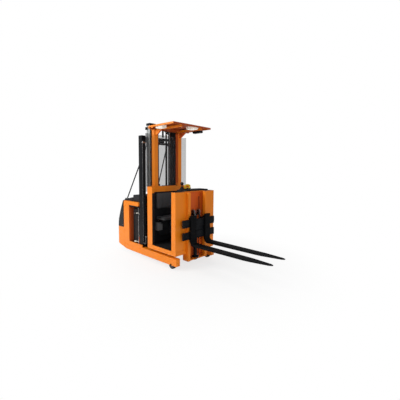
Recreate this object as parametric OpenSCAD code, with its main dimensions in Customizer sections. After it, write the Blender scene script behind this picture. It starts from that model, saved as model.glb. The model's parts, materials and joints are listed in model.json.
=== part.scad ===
// Order picker truck: the operator's cab rides up a mast, and the forks ride
// on a short mast of their own at the front of the cab.
// Millimetres. +X forward to the fork tips, +Y left, +Z up. The origin is on
// the floor, at the centre of the outline. Inside place(), x is counted from
// the front face of the cab.

/* [Cab] */
// Distance from the origin to the front face of the cab
cab_front = 136.5; // [132:0.5:141]
// Width over the cab and the chassis
cab_w = 904; // [900:2:912]
// Length of the cab floor
cab_l = 750; // [748:1:754]
// Height of the underside of the cab with the mast down
cab_z = 225; // [220:1:228]
// Height of the platform floor with the mast down
floor_z = 296; // [290:1:300]
// Height of the top edge of the front wall
front_top = 1245; // [1242:1:1260]
// Height of the top of the overhead guard
roof_top = 2350; // [2345:1:2360]

/* [Chassis] */
// Distance from the cab front back to the rear of the truck
rear_len = 1817; // [1812:1:1822]
// Height of the steel part of the rear body
rear_z = 472; // [460:2:480]
// Height of the top rails beside the battery
rail_z = 1000; // [990:2:1005]
// Underside of the load arms
arm_z = 58; // [56:1:62]
// Height of the load arms
arm_h = 128; // [120:1:130]
// Width of one load arm
arm_w = 79; // [79:1:82]

/* [Mast] */
// Height of the outer mast rails
outer_top = 2205; // [2200:1:2215]
// Height of the inner mast rails with the mast down
inner_top = 2390; // [2385:1:2395]
// Section depth of the rails
rail_d = 100; // [98:1:101]
// Radius of the two lift cylinder barrels
barrel_r = 18; // [17:1:19]
// Radius of the lift rods
rod_r = 12; // [11:1:12]

/* [Wheels] */
// Radius of the drive wheel
drive_r = 115; // [105:1:116]
// Width of the drive wheel
drive_w = 80; // [70:1:80]
// Radius of the load wheels
load_r = 70; // [66:1:72]
// Width of the load wheels
load_w = 49; // [40:1:49]

/* [Forks] */
// Distance from the cab front to the fork tips
fork_tip = 1544; // [1400:4:1560]
// Width of one fork
fork_w = 118; // [100:2:120]
// Distance from the middle to the middle of one fork
fork_y = 165; // [160:1:175]
// Height of the top face of the fork blades
blade_z = 415; // [410:1:420]

/* [Hidden] */
hw = cab_w / 2;              // half of the width
t_sheet = 12;                // thickness of the pressed steel panels
x_cab = -cab_l;              // rear face of the cab
x_rear = -rear_len;          // rear of the truck
x_hood = -1546;              // line between the rear shell and the side frames
x_bulk = -1350;              // wall between the motor and the battery
x_arm = -930;                // rear end of the open load arms
x_out = -1035;               // rear face of the outer mast rails
x_in = -960;                 // rear face of the inner mast rails
x_drive = -1480;             // steering axis
x_load = -110;               // load wheel axle
x_cyl = -905;                // the two lift cylinders
y_cyl = 100;                 // their distance from the middle
base_z = 110;                // underside of the chassis floor
base_t = 30;                 // its thickness
plate_z = 300;               // underside of the plate that carries the drive
y_out = [350, 430];          // outer rail, inner and outer side
y_in = [185, 305];           // inner rail, inner and outer side
y_aux = [172, 224];          // rails of the fork mast
x_aux = [-58, 55];           // rear and front face of those rails
aux_z = [105, 1240];         // their lower and upper end
web = 15;                    // web and flange thickness of the mast rails
run = 0.05;                  // running clearance on a shaft
r_rear = 90;                 // radius of the rear corners
x_hinge = -1316;             // hinge of the battery lid
z_hinge = 1112;              // its height
head_z = 2305;               // axis of the chain sheaves in the mast head
anchor_z = [815, 835];       // chain anchors on the cab
sheave_z = 905;              // axis of the sheaves over the fork mast cylinder
orange = [0.95, 0.50, 0.13];
dark = [0.13, 0.14, 0.15];
grey = [0.27, 0.29, 0.31];
steel = [0.72, 0.73, 0.74];

// x counted from the front face of the cab
module place() translate([cab_front, 0, 0]) children();
// box from its low and high ends along x, y and z
module bx(x, y, z) translate([x[0], y[0], z[0]])
    cube([x[1] - x[0], y[1] - y[0], z[1] - z[0]]);
// the same thing on the right (-1) or the left (1)
module side(s) mirror([0, s < 0 ? 1 : 0, 0]) children();
module both() { children(); mirror([0, 1, 0]) children(); }
// round bar along y
module rod_y(x, z, y, r) translate([x, y[1], z]) rotate([90, 0, 0])
    cylinder(r = r, h = y[1] - y[0], $fn = 64);
// round bar along z
module rod_z(x, y, z, r) translate([x, y, z[0]])
    cylinder(r = r, h = z[1] - z[0], $fn = 64);
// outline in x and z, thick along y
module slab_y(y) translate([0, y[1], 0]) rotate([90, 0, 0])
    linear_extrude(y[1] - y[0]) children();
// round bar between two points
module strut(p, q, r) {
    d = q - p;
    translate(p) rotate([0, acos(d[2] / norm(d)), atan2(d[1], d[0])])
        cylinder(r = r, h = norm(d), $fn = 24);
}

// ---------------------------------------------------------------- chassis
module chassis_frame() color(orange) place() difference() {
    union() {
        bx([-1640, x_arm], [-y_out[1], y_out[1]], [base_z, base_z + base_t]);
        bx([-1700, -1600], [-385, 385], [base_z, base_z + base_t]);
        bx([x_arm - 10, -895], [-340, 340], [base_z, base_z + base_t]);
        bx([-1640, x_bulk + 5], [-400, 400], [plate_z, plate_z + 20]);
        bx([x_bulk, x_bulk + t_sheet], [-y_out[1], y_out[1]],
            [base_z + 10, 930]);
        both() bx([-1640, x_bulk + 5], [388, 400], [base_z + 10, plate_z + 10]);
        bx([-1060, -1040], [-y_out[1], y_out[1]], [base_z + 10, 360]);
    }
    rod_z(x_drive, 0, [base_z - 1, base_z + base_t + 1], 160);
    rod_z(x_drive, 0, [plate_z - 1, plate_z + 21], 100);
}

// plan of the rear body: square at the front, round at the rear corners
module rear_plan(t) {
    for (s = [-1, 1]) translate([x_rear + r_rear, s * (hw - r_rear)])
        circle(r = r_rear - t, $fn = 96);
    translate([x_rear + t, -(hw - r_rear)]) square([400, 2 * (hw - r_rear)]);
    translate([x_rear + r_rear, -(hw - t)]) square([310, 2 * (hw - t)]);
}

module rear_body() color(orange) place() intersection() {
    difference() {
        linear_extrude(rear_z) rear_plan(0);
        translate([0, 0, -1]) linear_extrude(rear_z + 2) rear_plan(t_sheet);
    }
    slab_y([-hw - 1, hw + 1]) polygon([[x_hood, 76], [x_hood, rear_z],
        [x_rear - 1, rear_z], [x_rear - 1, 150], [-1713, 110]]);
}

// pillar, skirt and top rail round the battery opening
module side_frame(s) color(orange) place() side(s) {
    slab_y([y_out[1], hw]) polygon([[x_arm, arm_z], [-1465, arm_z],
        [x_hood, 76], [x_hood, rail_z - 8], [x_hood + 8, rail_z],
        [-1040, rail_z], [-1040, 930], [x_bulk, 930], [x_bulk, 228],
        [x_arm, 228]]);
    bx([x_hood, x_out], [392, y_out[1] + 1], [930, rail_z]);
}
module side_frame_right() side_frame(-1);
module side_frame_left() side_frame(1);

// hollow at the wheel, with the wheel's axle across it
module load_arm(s) color(orange) place() side(s) {
    y0 = hw - arm_w;
    yc = hw - arm_w / 2;
    difference() {
        union() {
            slab_y([y0, hw]) polygon([[x_arm, arm_z], [24, arm_z + 8],
                [24, arm_z + arm_h], [x_arm, arm_z + arm_h]]);
            bx([x_bulk, x_arm + 1], [y0, y_out[1]], [arm_z, base_z]);
        }
        bx([x_load - load_r - 15, x_load + load_r + 15],
            [yc - load_w / 2 - 5, yc + load_w / 2 + 5],
            [arm_z - 1, 2 * load_r + 20]);
    }
    rod_y(x_load, load_r, [y0 + 1, hw - 1], 12);
}
module load_arm_right() load_arm(-1);
module load_arm_left() load_arm(1);

// channel rail, open towards the middle
module channel(x, y, z, t) difference() {
    bx([x, x + rail_d], y, z);
    bx([x + t, x + rail_d - t], [y[0] - 1, y[1] - t], [z[0] - 1, z[1] + 1]);
}

module outer_rail(s) color(dark) place() side(s) {
    channel(x_out, y_out, [base_z + base_t, outer_top], web);
    // guide block for the inner rail
    bx([-1000, -935], [y_in[1] + 5, y_out[0] + 1], [2080, 2150]);
}
module outer_rail_right() outer_rail(-1);
module outer_rail_left() outer_rail(1);

// columns: lower edge, upper edge
outer_bars = [[140, 220], [1010, 1060], [outer_top - 45, outer_top]];
module outer_crossmembers() color(dark) place() {
    for (b = outer_bars)
        bx([x_out, x_out + 20], [-y_out[0], y_out[0]], [b[0], b[1]]);
    // clamps on the cylinder heads
    both() difference() {
        union() {
            bx([x_out + 19, x_cyl + 26], [y_cyl - 24, y_cyl + 22],
                [2075, 2105]);
            bx([x_out + 19, x_out + 40], [y_cyl - 24, y_cyl + 22],
                [2075, outer_top]);
        }
        rod_z(x_cyl, y_cyl, [2070, 2110], barrel_r);
    }
    // valve block in the middle
    bx([-975, -915], [-50, 50], [2071, 2160]);
    bx([x_out + 19, -974], [-30, 30], [2090, 2150]);
    // anchors of the lift chains
    both() bx([x_out + 19, -940], [130, 150], [outer_top - 45, outer_top - 25]);
}

module lift_cylinder() color(dark) place() both() difference() {
    rod_z(x_cyl, y_cyl, [base_z + base_t, 2120], barrel_r);
    rod_z(x_cyl, y_cyl, [200, 2121], rod_r + run);
}

module stay(s) color(dark) place() side(s) {
    strut([-1583, 346, 1032], [-1046, 233, 2092], 11);
    bx([-1620, -1550], [322, 370], [1026, 1036]);
    bx([-1064, x_out], [222, 244], [2070, 2120]);
}
module stay_right() stay(-1);
module stay_left() stay(1);

// levels of the hood: height, distance of the rear face from the cab front
hood_rows = [[rear_z, 0], [564, 5], [680, 39], [797, 84], [900, 132],
    [rail_z, 183]];
// one level of the hood, drawn t inside its outer face
module hood_level(z, x, t) translate([0, 0, z]) linear_extrude(1) {
    for (s = [-1, 1]) translate([x + r_rear, s * (hw - r_rear)])
        circle(r = r_rear - t, $fn = 32);
    translate([x_hood - 1 + (t > 0 ? 2 : 0), -(hw - t)])
        square([1, 2 * (hw - t)]);
}
module hood_shape(t) intersection() {
    hull() {
        hood_level(rear_z - (t > 0 ? 1 : 0), x_rear, t);
        for (i = [1 : len(hood_rows) - 2])
            hood_level(hood_rows[i][0], x_rear + hood_rows[i][1], t);
        hood_level(rail_z - 1 - t, x_rear + hood_rows[5][1], t);
    }
    bx([x_rear - 1, x_hood + (t > 0 ? 1 : 0)], [-hw - 1, hw + 1],
        [rear_z - 2, rail_z + 1]);
}
// side view of the raised middle of the hood
module deck(t, z) slab_y([-388 + t, 388 - t]) polygon([[-1640 + t, z],
    [-1640 + t, 1000 - t], [-1600, 1014 - t], [-1500, 1036 - t],
    [-1400, 1060 - t], [-1330, 1074 - t], [-1312 - t, 1070 - t],
    [-1312 - t, z]]);
module rear_hood() color(grey) place() difference() {
    union() {
        hood_shape(0);
        deck(0, 960);
        both() bx([-1625, -1545], [317, 375], [990, 1026]);
        // hinge lugs and pins of the battery lid
        both() {
            for (y = [[285, 298], [342, 355]]) {
                bx([x_hinge - 6, x_hinge + 6], y, [1050, z_hinge]);
                rod_y(x_hinge, z_hinge, y, 6);
            }
            rod_y(x_hinge, z_hinge, [297, 343], 3);
        }
    }
    hood_shape(8);
    deck(8, 900);
    bx([-1321, -1300], [-380, 380], [900, 985]);
}

module battery() color(dark) place()
    bx([-1330, -1070], [-370, 370], [base_z + base_t, 860]);

// carrier for cables and hoses, with its bend at the foot of the mast
module energy_chain() color(dark) place() {
    y = [-425, -365];
    z_bend = 300;
    bx([-935, -915], y, [z_bend, 2100]);
    bx([-855, -835], y, [z_bend, 400]);
    difference() {
        rod_y(-885, z_bend, y, 50);
        rod_y(-885, z_bend, [y[0] - 1, y[1] + 1], 30);
        bx([-940, -830], [y[0] - 1, y[1] + 1], [z_bend, z_bend + 60]);
    }
}

module battery_lid() color(grey) place() difference() {
    union() {
        slab_y([-385, 385]) polygon([[-1305, 1001], [-1305, 1112],
            [-1292, 1125], [-1110, 1125], [-1075, 1095], [-1075, 1001]]);
        // hinge knuckles
        both() {
            rod_y(x_hinge, z_hinge, [300, 340], 6);
            bx([x_hinge, -1304], [300, 340], [z_hinge - 6, z_hinge]);
        }
    }
    slab_y([-377, 377]) polygon([[-1297, 1000], [-1297, 1109],
        [-1289, 1117], [-1113, 1117], [-1083, 1091], [-1083, 1000]]);
    both() rod_y(x_hinge, z_hinge, [299, 341], 3 + run);
}

// ---------------------------------------------------------------- drive
module drive_unit() color(dark) place() {
    rod_z(x_drive, 0, [262, plate_z - 1], 122);
    rod_z(x_drive, 0, [plate_z - 2, plate_z + 21], 100 - run);
    rod_z(x_drive, 0, [plate_z + 21, plate_z + 35], 122);
    rod_z(x_drive, 0, [plate_z + 34, 600], 90);
    bx([x_drive - 50, x_drive + 50], [drive_w / 2 + 12, 110], [60, 263]);
    rod_y(x_drive, drive_r, [-35, drive_w / 2 + 13], 20);
}

module drive_wheel() color(dark) place() difference() {
    rod_y(x_drive, drive_r, [-drive_w / 2, drive_w / 2], drive_r);
    rod_y(x_drive, drive_r, [-drive_w / 2 - 1, drive_w / 2 + 1], 20 + run);
}

module load_wheel(s) color(dark) place() side(s) {
    yc = hw - arm_w / 2;
    difference() {
        rod_y(x_load, load_r, [yc - load_w / 2, yc + load_w / 2], load_r);
        rod_y(x_load, load_r, [yc - load_w, yc + load_w], 12 + run);
    }
}
module load_wheel_right() load_wheel(-1);
module load_wheel_left() load_wheel(1);

// ---------------------------------------------------------------- inner mast
// columns: lower edge, upper edge
inner_bars = [[200, 260], [520, 580]];
module inner_rail(s) color(dark) place() side(s) {
    channel(x_in, y_in, [160, inner_top], web);
    for (b = inner_bars) bx([x_in - 25, x_in + 1], [200, 275], [b[0], b[1]]);
    bx([x_in - 50, x_in + 60], [y_in[1] - 1, y_out[0] - 5], [200, 600]);
    for (z = [250, 550]) rod_y(-985, z, [y_out[0] - 6, 410], 30);
    bx([-975, -930], [y_in[1] - 1, y_in[1] + 22], [2316, 2362]);
}
module inner_rail_right() inner_rail(-1);
module inner_rail_left() inner_rail(1);

module inner_crossmembers() color(dark) place()
    for (b = inner_bars) bx([x_in - 45, x_in - 25], [-275, 275], [b[0], b[1]]);

module mast_head() color(dark) place() {
    bx([x_in - 12, -862], [-y_in[0], y_in[0]], [inner_top - 18, inner_top]);
    both() bx([x_in - 5, -855], [180, 312], [inner_top, inner_top + 38]);
    bx([x_in - 5, -862], [-181, 181], [inner_top - 1, inner_top + 12]);
    both() rod_z(x_cyl, y_cyl, [500, inner_top - 17], rod_r);
    bx([-938, -912], [20, 45], [2210, inner_top - 17]);
    both() for (y = [116, 156])
        bx([-925, -885], [y, y + 8], [head_z - 20, inner_top - 17]);
    both() rod_y(-905, head_z, [117, 163], 10);
}

module head_sheaves() color(steel) place() both() {
    difference() {
        rod_y(-905, head_z, [128, 152], 40);
        rod_y(-905, head_z, [127, 153], 10 + run);
    }
    bx([-958, -946], [131, 149], [outer_top - 20, head_z]);
}

module lift_chains() color(steel) place() both()
    bx([-864, -852], [131, 149], [anchor_z[1], head_z]);

// ---------------------------------------------------------------- cab
module cab_floor() color(orange) place() difference() {
    bx([x_cab, 0], [-hw, hw], [cab_z, floor_z]);
    bx([x_cab + 30, -105], [-hw + 30, hw - 30], [cab_z - 1, floor_z - t_sheet]);
    bx([-75, 1], [-y_aux[1] - 2, y_aux[1] + 2], [cab_z - 1, floor_z + 1]);
}

module rear_pillar(s) color(orange) place() side(s)
    bx([x_cab, -610], [402, hw], [floor_z, 1307]);
module rear_pillar_right() rear_pillar(-1);
module rear_pillar_left() rear_pillar(1);

module rear_wall() color(dark) place()
    bx([x_cab, x_cab + t_sheet], [-402, 402], [floor_z, 1207]);

module rear_beam() color(orange) place()
    bx([-792, -712], [-402, 402], [1207, 1310]);

module front_wall() color(orange) place() {
    both() bx([-100, 0], [y_aux[1], hw], [floor_z, front_top]);
    bx([-100, -76], [-y_aux[1] - 1, y_aux[1] + 1], [floor_z, front_top]);
}

// arms and rollers that run in the inner rails
module mast_bracket() color(orange) place() {
    bx([x_cab - 15, x_cab], [-175, 175], [floor_z, 860]);
    both() {
        bx([-945, x_cab - 14], [155, 175], [floor_z, 860]);
        for (z = [360, 815]) rod_y(-910, z, [174, 284], 30);
        bx([-868, x_cab - 14], [131, 149], anchor_z);
    }
}

module guard_posts() color(orange) place() both() {
    bx([-792, -717], [235, 319], [1310, 2305]);
    slab_y([262, 292]) polygon([[-718, 2305], [-718, 2204], [-690, 2204],
        [-560, 2284], [-560, 2305]]);
}

// columns: rear edge of the bar
roof_bars = [-785, -660];
module roof() color(orange) place() {
    difference() {
        linear_extrude(roof_top) polygon([[-792, -395], [-700, -430],
            [-70, -430], [-70, 430], [-700, 430], [-792, 395]]);
        translate([0, 0, -1]) linear_extrude(roof_top - 5) polygon([[-785, -390],
            [-699, -423], [-77, -423], [-77, 423], [-699, 423], [-785, 390]]);
        bx([-800, 0], [-hw, hw], [-2, roof_top - 30]);
    }
    bx([roof_bars[0], roof_bars[0] + 42], [-388, 388], [2305, 2336]);
    bx([roof_bars[1], roof_bars[1] + 42], [-424, 424], [2305, 2336]);
    both() bx([-716, -76], [200, 245], [2290, 2330]);
}

// columns: low and high x, low and high y, low and high z
lamps = [[-575, -400, -397, -296, 2292, 2344], [-275, -115, 25, 160, 2292, 2344],
    [-335, -140, 240, 305, 2254, 2290]];
module roof_lamps() color(steel) place()
    for (l = lamps) bx([l[0], l[1]], [l[2], l[3]], [l[4], l[5]]);

// clear sheet behind the posts, bent forward at both edges
module mast_screen() color([0.8, 0.82, 0.84, 0.4]) place() {
    bx([-797, -792], [-450, 450], [1215, 2230]);
    both() bx([-797, -730], [445, 450], [1310, 2230]);
}

module console() color(dark) place() slab_y([-150, 410])
    polygon([[-100, 1150], [-100, 1268], [-300, 1268],
        [-318, 1250], [-318, 1215], [-180, 1150]]);

module controls() color(dark) place() {
    rod_z(-205, -128, [1268, 1345], 9);
    translate([-205, -128, 1360]) sphere(r = 20, $fn = 32);
    bx([-230, -170], [-76, 54], [1268, 1345]);
}

module seat_pad() color(grey) place()
    bx([x_cab + t_sheet, -490], [-280, 280], [715, 765]);
module backrest_pad() color(grey) place()
    bx([x_cab + t_sheet, -690], [-280, 280], [900, 1190]);

// ---------------------------------------------------------------- forks
module fork_mast() color(orange) place() {
    // the rollers run in a groove behind the thick front flange
    both() difference() {
        bx(x_aux, y_aux, aux_z);
        bx([x_aux[0] + 8, -2], [y_aux[0] - 1, y_aux[1] - 12],
            [aux_z[0] - 1, aux_z[1] + 1]);
    }
    bx([x_aux[0] + 12, x_aux[1] - 12], [-y_aux[1] + 12, y_aux[1] - 12],
        [aux_z[0], aux_z[0] + 20]);
    bx([x_aux[0] - 14, x_aux[0] + 1], [-y_aux[1], y_aux[1]],
        [aux_z[0], 420]);
}

module fork_cylinder() color(dark) place() difference() {
    rod_z(-5, 0, [aux_z[0] + 20, 660], 30);
    rod_z(-5, 0, [150, 661], 18 + run);
}

module fork_crosshead() color(dark) place() {
    rod_z(-5, 0, [400, 850], 18);
    bx([-30, 20], [-78, 78], [848, 868]);
    both() {
        bx([-20, 10], [40, 46], [860, 930]);
        bx([-20, 10], [74, 80], [860, 930]);
        rod_y(-5, sheave_z, [41, 79], 9);
        rod_y(-5, sheave_z, [50, 70], 36);
        bx([30, 40], [52, 68], [620, sheave_z]);
        bx([-50, -40], [52, 68], [750, sheave_z]);
    }
}

// columns: lower edge, upper edge
carriage_bars = [[485, 600], [680, 800]];
module fork_carriage() color(dark) place() {
    for (b = carriage_bars) bx([60, 92], [-362, 362], [b[0], b[1]]);
    bx([60, 75], [-180, 180], [590, 690]);
    both() {
        bx([-46, 61], [155, 167], [490, 795]);
        for (z = [532, 740]) rod_y(-26, z, [166, 207], 19);
    }
}

module fork(s) color(dark) place() side(s) intersection() {
    slab_y([fork_y - fork_w / 2, fork_y + fork_w / 2]) polygon(concat(
        // back of the shank and outer curve of the heel
        [[92, 870]], [for (a = [180 : 10 : 270])
            [172 + 80 * cos(a), blade_z + 40 + 80 * sin(a)]],
        // underside and tip of the blade
        [[260, blade_z - 40], [fork_tip - 420, blade_z - 28],
        [fork_tip, blade_z - 10], [fork_tip, blade_z]],
        // inner curve of the heel and front of the shank
        [for (a = [270 : -15 : 180])
            [172 + 42 * cos(a), blade_z + 42 + 42 * sin(a)]],
        [[126, 870]]));
    // plan of the fork, narrow at the tip
    linear_extrude(900) polygon([[90, fork_y - fork_w / 2],
        [fork_tip - 330, fork_y - fork_w / 2], [fork_tip - 40, fork_y - 32],
        [fork_tip, fork_y - 12], [fork_tip, fork_y + 12],
        [fork_tip - 40, fork_y + 32], [fork_tip - 330, fork_y + fork_w / 2],
        [90, fork_y + fork_w / 2]]);
}
module fork_right() fork(-1);
module fork_left() fork(1);

chassis_frame();
rear_body();
side_frame_right();
side_frame_left();
load_arm_right();
load_arm_left();
outer_rail_right();
outer_rail_left();
outer_crossmembers();
lift_cylinder();
stay_right();
stay_left();
rear_hood();
battery();
energy_chain();
battery_lid();
drive_unit();
drive_wheel();
load_wheel_right();
load_wheel_left();
inner_rail_right();
inner_rail_left();
inner_crossmembers();
mast_head();
head_sheaves();
lift_chains();
cab_floor();
rear_pillar_right();
rear_pillar_left();
rear_wall();
rear_beam();
front_wall();
mast_bracket();
guard_posts();
roof();
roof_lamps();
mast_screen();
console();
controls();
seat_pad();
backrest_pad();
fork_mast();
fork_cylinder();
fork_crosshead();
fork_carriage();
fork_right();
fork_left();
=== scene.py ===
import bpy, bmesh, math, json
from mathutils import Matrix, Vector, noise

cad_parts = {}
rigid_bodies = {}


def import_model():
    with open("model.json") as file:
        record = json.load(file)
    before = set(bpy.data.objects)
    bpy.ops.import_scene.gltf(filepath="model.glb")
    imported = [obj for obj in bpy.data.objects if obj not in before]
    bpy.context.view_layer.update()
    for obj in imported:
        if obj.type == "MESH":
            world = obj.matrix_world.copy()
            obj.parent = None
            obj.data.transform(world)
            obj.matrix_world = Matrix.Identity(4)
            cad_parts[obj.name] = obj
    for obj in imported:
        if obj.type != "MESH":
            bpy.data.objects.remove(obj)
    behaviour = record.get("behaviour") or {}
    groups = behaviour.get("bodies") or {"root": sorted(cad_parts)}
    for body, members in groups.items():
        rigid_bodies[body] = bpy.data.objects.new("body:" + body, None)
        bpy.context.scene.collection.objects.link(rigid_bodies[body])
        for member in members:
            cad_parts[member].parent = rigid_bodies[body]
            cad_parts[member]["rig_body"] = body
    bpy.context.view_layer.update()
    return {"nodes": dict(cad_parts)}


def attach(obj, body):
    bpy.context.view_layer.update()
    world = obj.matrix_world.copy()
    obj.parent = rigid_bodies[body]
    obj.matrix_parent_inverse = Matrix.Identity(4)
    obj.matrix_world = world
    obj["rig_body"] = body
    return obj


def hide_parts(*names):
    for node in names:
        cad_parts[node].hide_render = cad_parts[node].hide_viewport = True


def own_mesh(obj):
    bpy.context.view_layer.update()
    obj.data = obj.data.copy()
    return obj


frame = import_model()
NODES = frame["nodes"]
X0 = 0.1365                      # front face of the cab, in the row frame
scene = bpy.context.scene
R = math.radians


# ---------------------------------------------------------------- materials
def material(name, base, rough=0.45, metal=0.0, vary=0.10, scale=3.0, rvary=0.10, grain=260.0, bump=0.08,
             depth=0.0006, coat=0.0, spec=0.5, stretch=(1, 1, 1), dirt=None, dirt_scale=4.0, dirt_amount=0.35,
             alpha=None, spots=None, transmission=0.0):
    m = bpy.data.materials.new(name)
    m.use_nodes = True
    nt = m.node_tree
    nt.nodes.clear()
    N, L = nt.nodes.new, nt.links.new
    out, b = N("ShaderNodeOutputMaterial"), N("ShaderNodeBsdfPrincipled")
    L(b.outputs[0], out.inputs[0])
    tc, mp = N("ShaderNodeTexCoord"), N("ShaderNodeMapping")
    L(tc.outputs["Object"], mp.inputs[0])
    mp.inputs["Scale"].default_value = stretch
    n1, r1 = N("ShaderNodeTexNoise"), N("ShaderNodeValToRGB")
    n1.inputs["Scale"].default_value = scale
    n1.inputs["Detail"].default_value = 6.0
    n1.inputs["Roughness"].default_value = 0.6
    L(mp.outputs[0], n1.inputs["Vector"])
    L(n1.outputs[0], r1.inputs[0])
    lo = [max(0.0, c * (1 - vary)) for c in base]
    hi = [min(1.0, c * (1 + vary)) for c in base]
    r1.color_ramp.elements[0].position, r1.color_ramp.elements[0].color = 0.32, (*lo, 1)
    r1.color_ramp.elements[1].position, r1.color_ramp.elements[1].color = 0.68, (*hi, 1)
    col = r1.outputs[0]
    if dirt:
        n2, r2, mx = N("ShaderNodeTexNoise"), N("ShaderNodeValToRGB"), N("ShaderNodeMix")
        n2.inputs["Scale"].default_value = dirt_scale
        n2.inputs["Detail"].default_value = 9.0
        n2.inputs["Roughness"].default_value = 0.72
        L(mp.outputs[0], n2.inputs["Vector"])
        L(n2.outputs[0], r2.inputs[0])
        r2.color_ramp.elements[0].position, r2.color_ramp.elements[0].color = 0.56, (0, 0, 0, 1)
        r2.color_ramp.elements[1].position = 0.78
        r2.color_ramp.elements[1].color = (dirt_amount,) * 3 + (1,)
        mx.data_type = "RGBA"
        L(r2.outputs[0], mx.inputs[0])
        L(col, mx.inputs[6])
        mx.inputs[7].default_value = (*dirt, 1)
        col = mx.outputs[2]
    L(col, b.inputs["Base Color"])
    n3, mr = N("ShaderNodeTexNoise"), N("ShaderNodeMapRange")
    n3.inputs["Scale"].default_value = scale * 5
    n3.inputs["Detail"].default_value = 5.0
    L(mp.outputs[0], n3.inputs["Vector"])
    L(n3.outputs[0], mr.inputs[0])
    mr.inputs[1].default_value, mr.inputs[2].default_value = 0.3, 0.7
    mr.inputs[3].default_value = max(0.03, rough - rvary)
    mr.inputs[4].default_value = min(1.0, rough + rvary)
    L(mr.outputs[0], b.inputs["Roughness"])
    n4, bp = N("ShaderNodeTexNoise"), N("ShaderNodeBump")
    n4.inputs["Scale"].default_value = grain
    n4.inputs["Detail"].default_value = 3.0
    L(mp.outputs[0], n4.inputs["Vector"])
    L(n4.outputs[0], bp.inputs["Height"])
    bp.inputs["Strength"].default_value = bump
    bp.inputs["Distance"].default_value = depth
    L(bp.outputs[0], b.inputs["Normal"])
    b.inputs["Metallic"].default_value = metal
    b.inputs["Specular IOR Level"].default_value = spec
    b.inputs["Coat Weight"].default_value = coat
    b.inputs["Coat Roughness"].default_value = 0.12
    if alpha is not None:
        b.inputs["Alpha"].default_value = alpha
    if transmission:
        b.inputs["Transmission Weight"].default_value = transmission
    return m


ORANGE = material("orange_paint", (0.80, 0.217, 0.009), rough=0.38, vary=0.05, scale=2.2, rvary=0.07, grain=340,
                  bump=0.10, coat=0.08, spec=0.27, dirt=(0.42, 0.13, 0.02), dirt_scale=7.0, dirt_amount=0.16)
# Redder, darker orange: painted shade for recesses, undersides and faces turned away from the key light.
SHADE_ORANGE = material("orange_paint_shade", (0.60, 0.098, 0.013), rough=0.42, vary=0.07, scale=2.6, rvary=0.07, grain=340,
                bump=0.10, coat=0.05, spec=0.25, dirt=(0.20, 0.04, 0.012), dirt_scale=6.0, dirt_amount=0.25)
# Darker orange still: painted shade for the roof's underside and front rim and for the chassis frame.
DARK_SHADE_ORANGE = material("orange_paint_dark_shade", (0.36, 0.064, 0.012), rough=0.46, vary=0.07, scale=2.6, rvary=0.07, grain=340,
                bump=0.10, spec=0.20, dirt=(0.12, 0.03, 0.010), dirt_scale=6.0, dirt_amount=0.25)
BLACK = material("mast_paint", (0.0058, 0.0064, 0.0080), rough=0.42, vary=0.22, scale=4.0, rvary=0.09, grain=420,
                 bump=0.12, spec=0.11, dirt=(0.036, 0.033, 0.030), dirt_scale=9.0, dirt_amount=0.22)
FORKB = material("fork_paint", (0.0045, 0.0047, 0.0054), rough=0.58, spec=0.06, vary=0.25, scale=6.0, rvary=0.12, grain=520,
                 bump=0.16, stretch=(0.5, 1, 1), dirt=(0.030, 0.028, 0.027), dirt_scale=16.0, dirt_amount=0.22)
HOOD = material("hood_plastic", (0.016, 0.0178, 0.0205), rough=0.58, spec=0.22, vary=0.08, scale=3.0, rvary=0.06, grain=900,
                bump=0.35, depth=0.0005)
TROUGH = material("battery_paint", (0.014, 0.0148, 0.0160), rough=0.48, spec=0.25, vary=0.22, scale=6.0, grain=360, bump=0.15,
                  dirt=(0.05, 0.046, 0.040), dirt_scale=5.0, dirt_amount=0.30)
CAST = material("drive_casting", (0.045, 0.045, 0.049), rough=0.6, vary=0.18, scale=12.0, grain=240, bump=0.45,
                depth=0.001)
TYRE = material("tyre_rubber", (0.014, 0.0135, 0.0135), rough=0.82, spec=0.25, vary=0.2, scale=20.0, grain=420, bump=0.35,
                dirt=(0.10, 0.09, 0.08), dirt_scale=12.0, dirt_amount=0.35)
STEEL = material("oiled_steel", (0.46, 0.46, 0.465), rough=0.30, metal=1.0, vary=0.18, scale=30.0, grain=300,
                 bump=0.10, dirt=(0.06, 0.05, 0.04), dirt_scale=22.0, dirt_amount=0.55)
TRACK = material("rail_track", (0.350, 0.372, 0.368), rough=0.50, metal=0.20, vary=0.10, scale=5.0, rvary=0.10, grain=380,
                 bump=0.12, spec=0.4, stretch=(1, 1, 0.25), dirt=(0.060, 0.058, 0.055), dirt_scale=9.0, dirt_amount=0.30)
CHROME = material("rod_chrome", (0.72, 0.72, 0.73), rough=0.09, metal=1.0, vary=0.05, scale=8.0, rvary=0.03,
                  grain=200, bump=0.02)
PLASTIC = material("black_plastic", (0.0072, 0.0072, 0.0082), rough=0.48, spec=0.20, vary=0.12, scale=8.0, grain=1100, bump=0.30,
                   depth=0.0004)
RUBBER = material("black_rubber", (0.0075, 0.0075, 0.0075), rough=0.70, spec=0.18, vary=0.2, scale=14.0, grain=600, bump=0.25)
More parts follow.
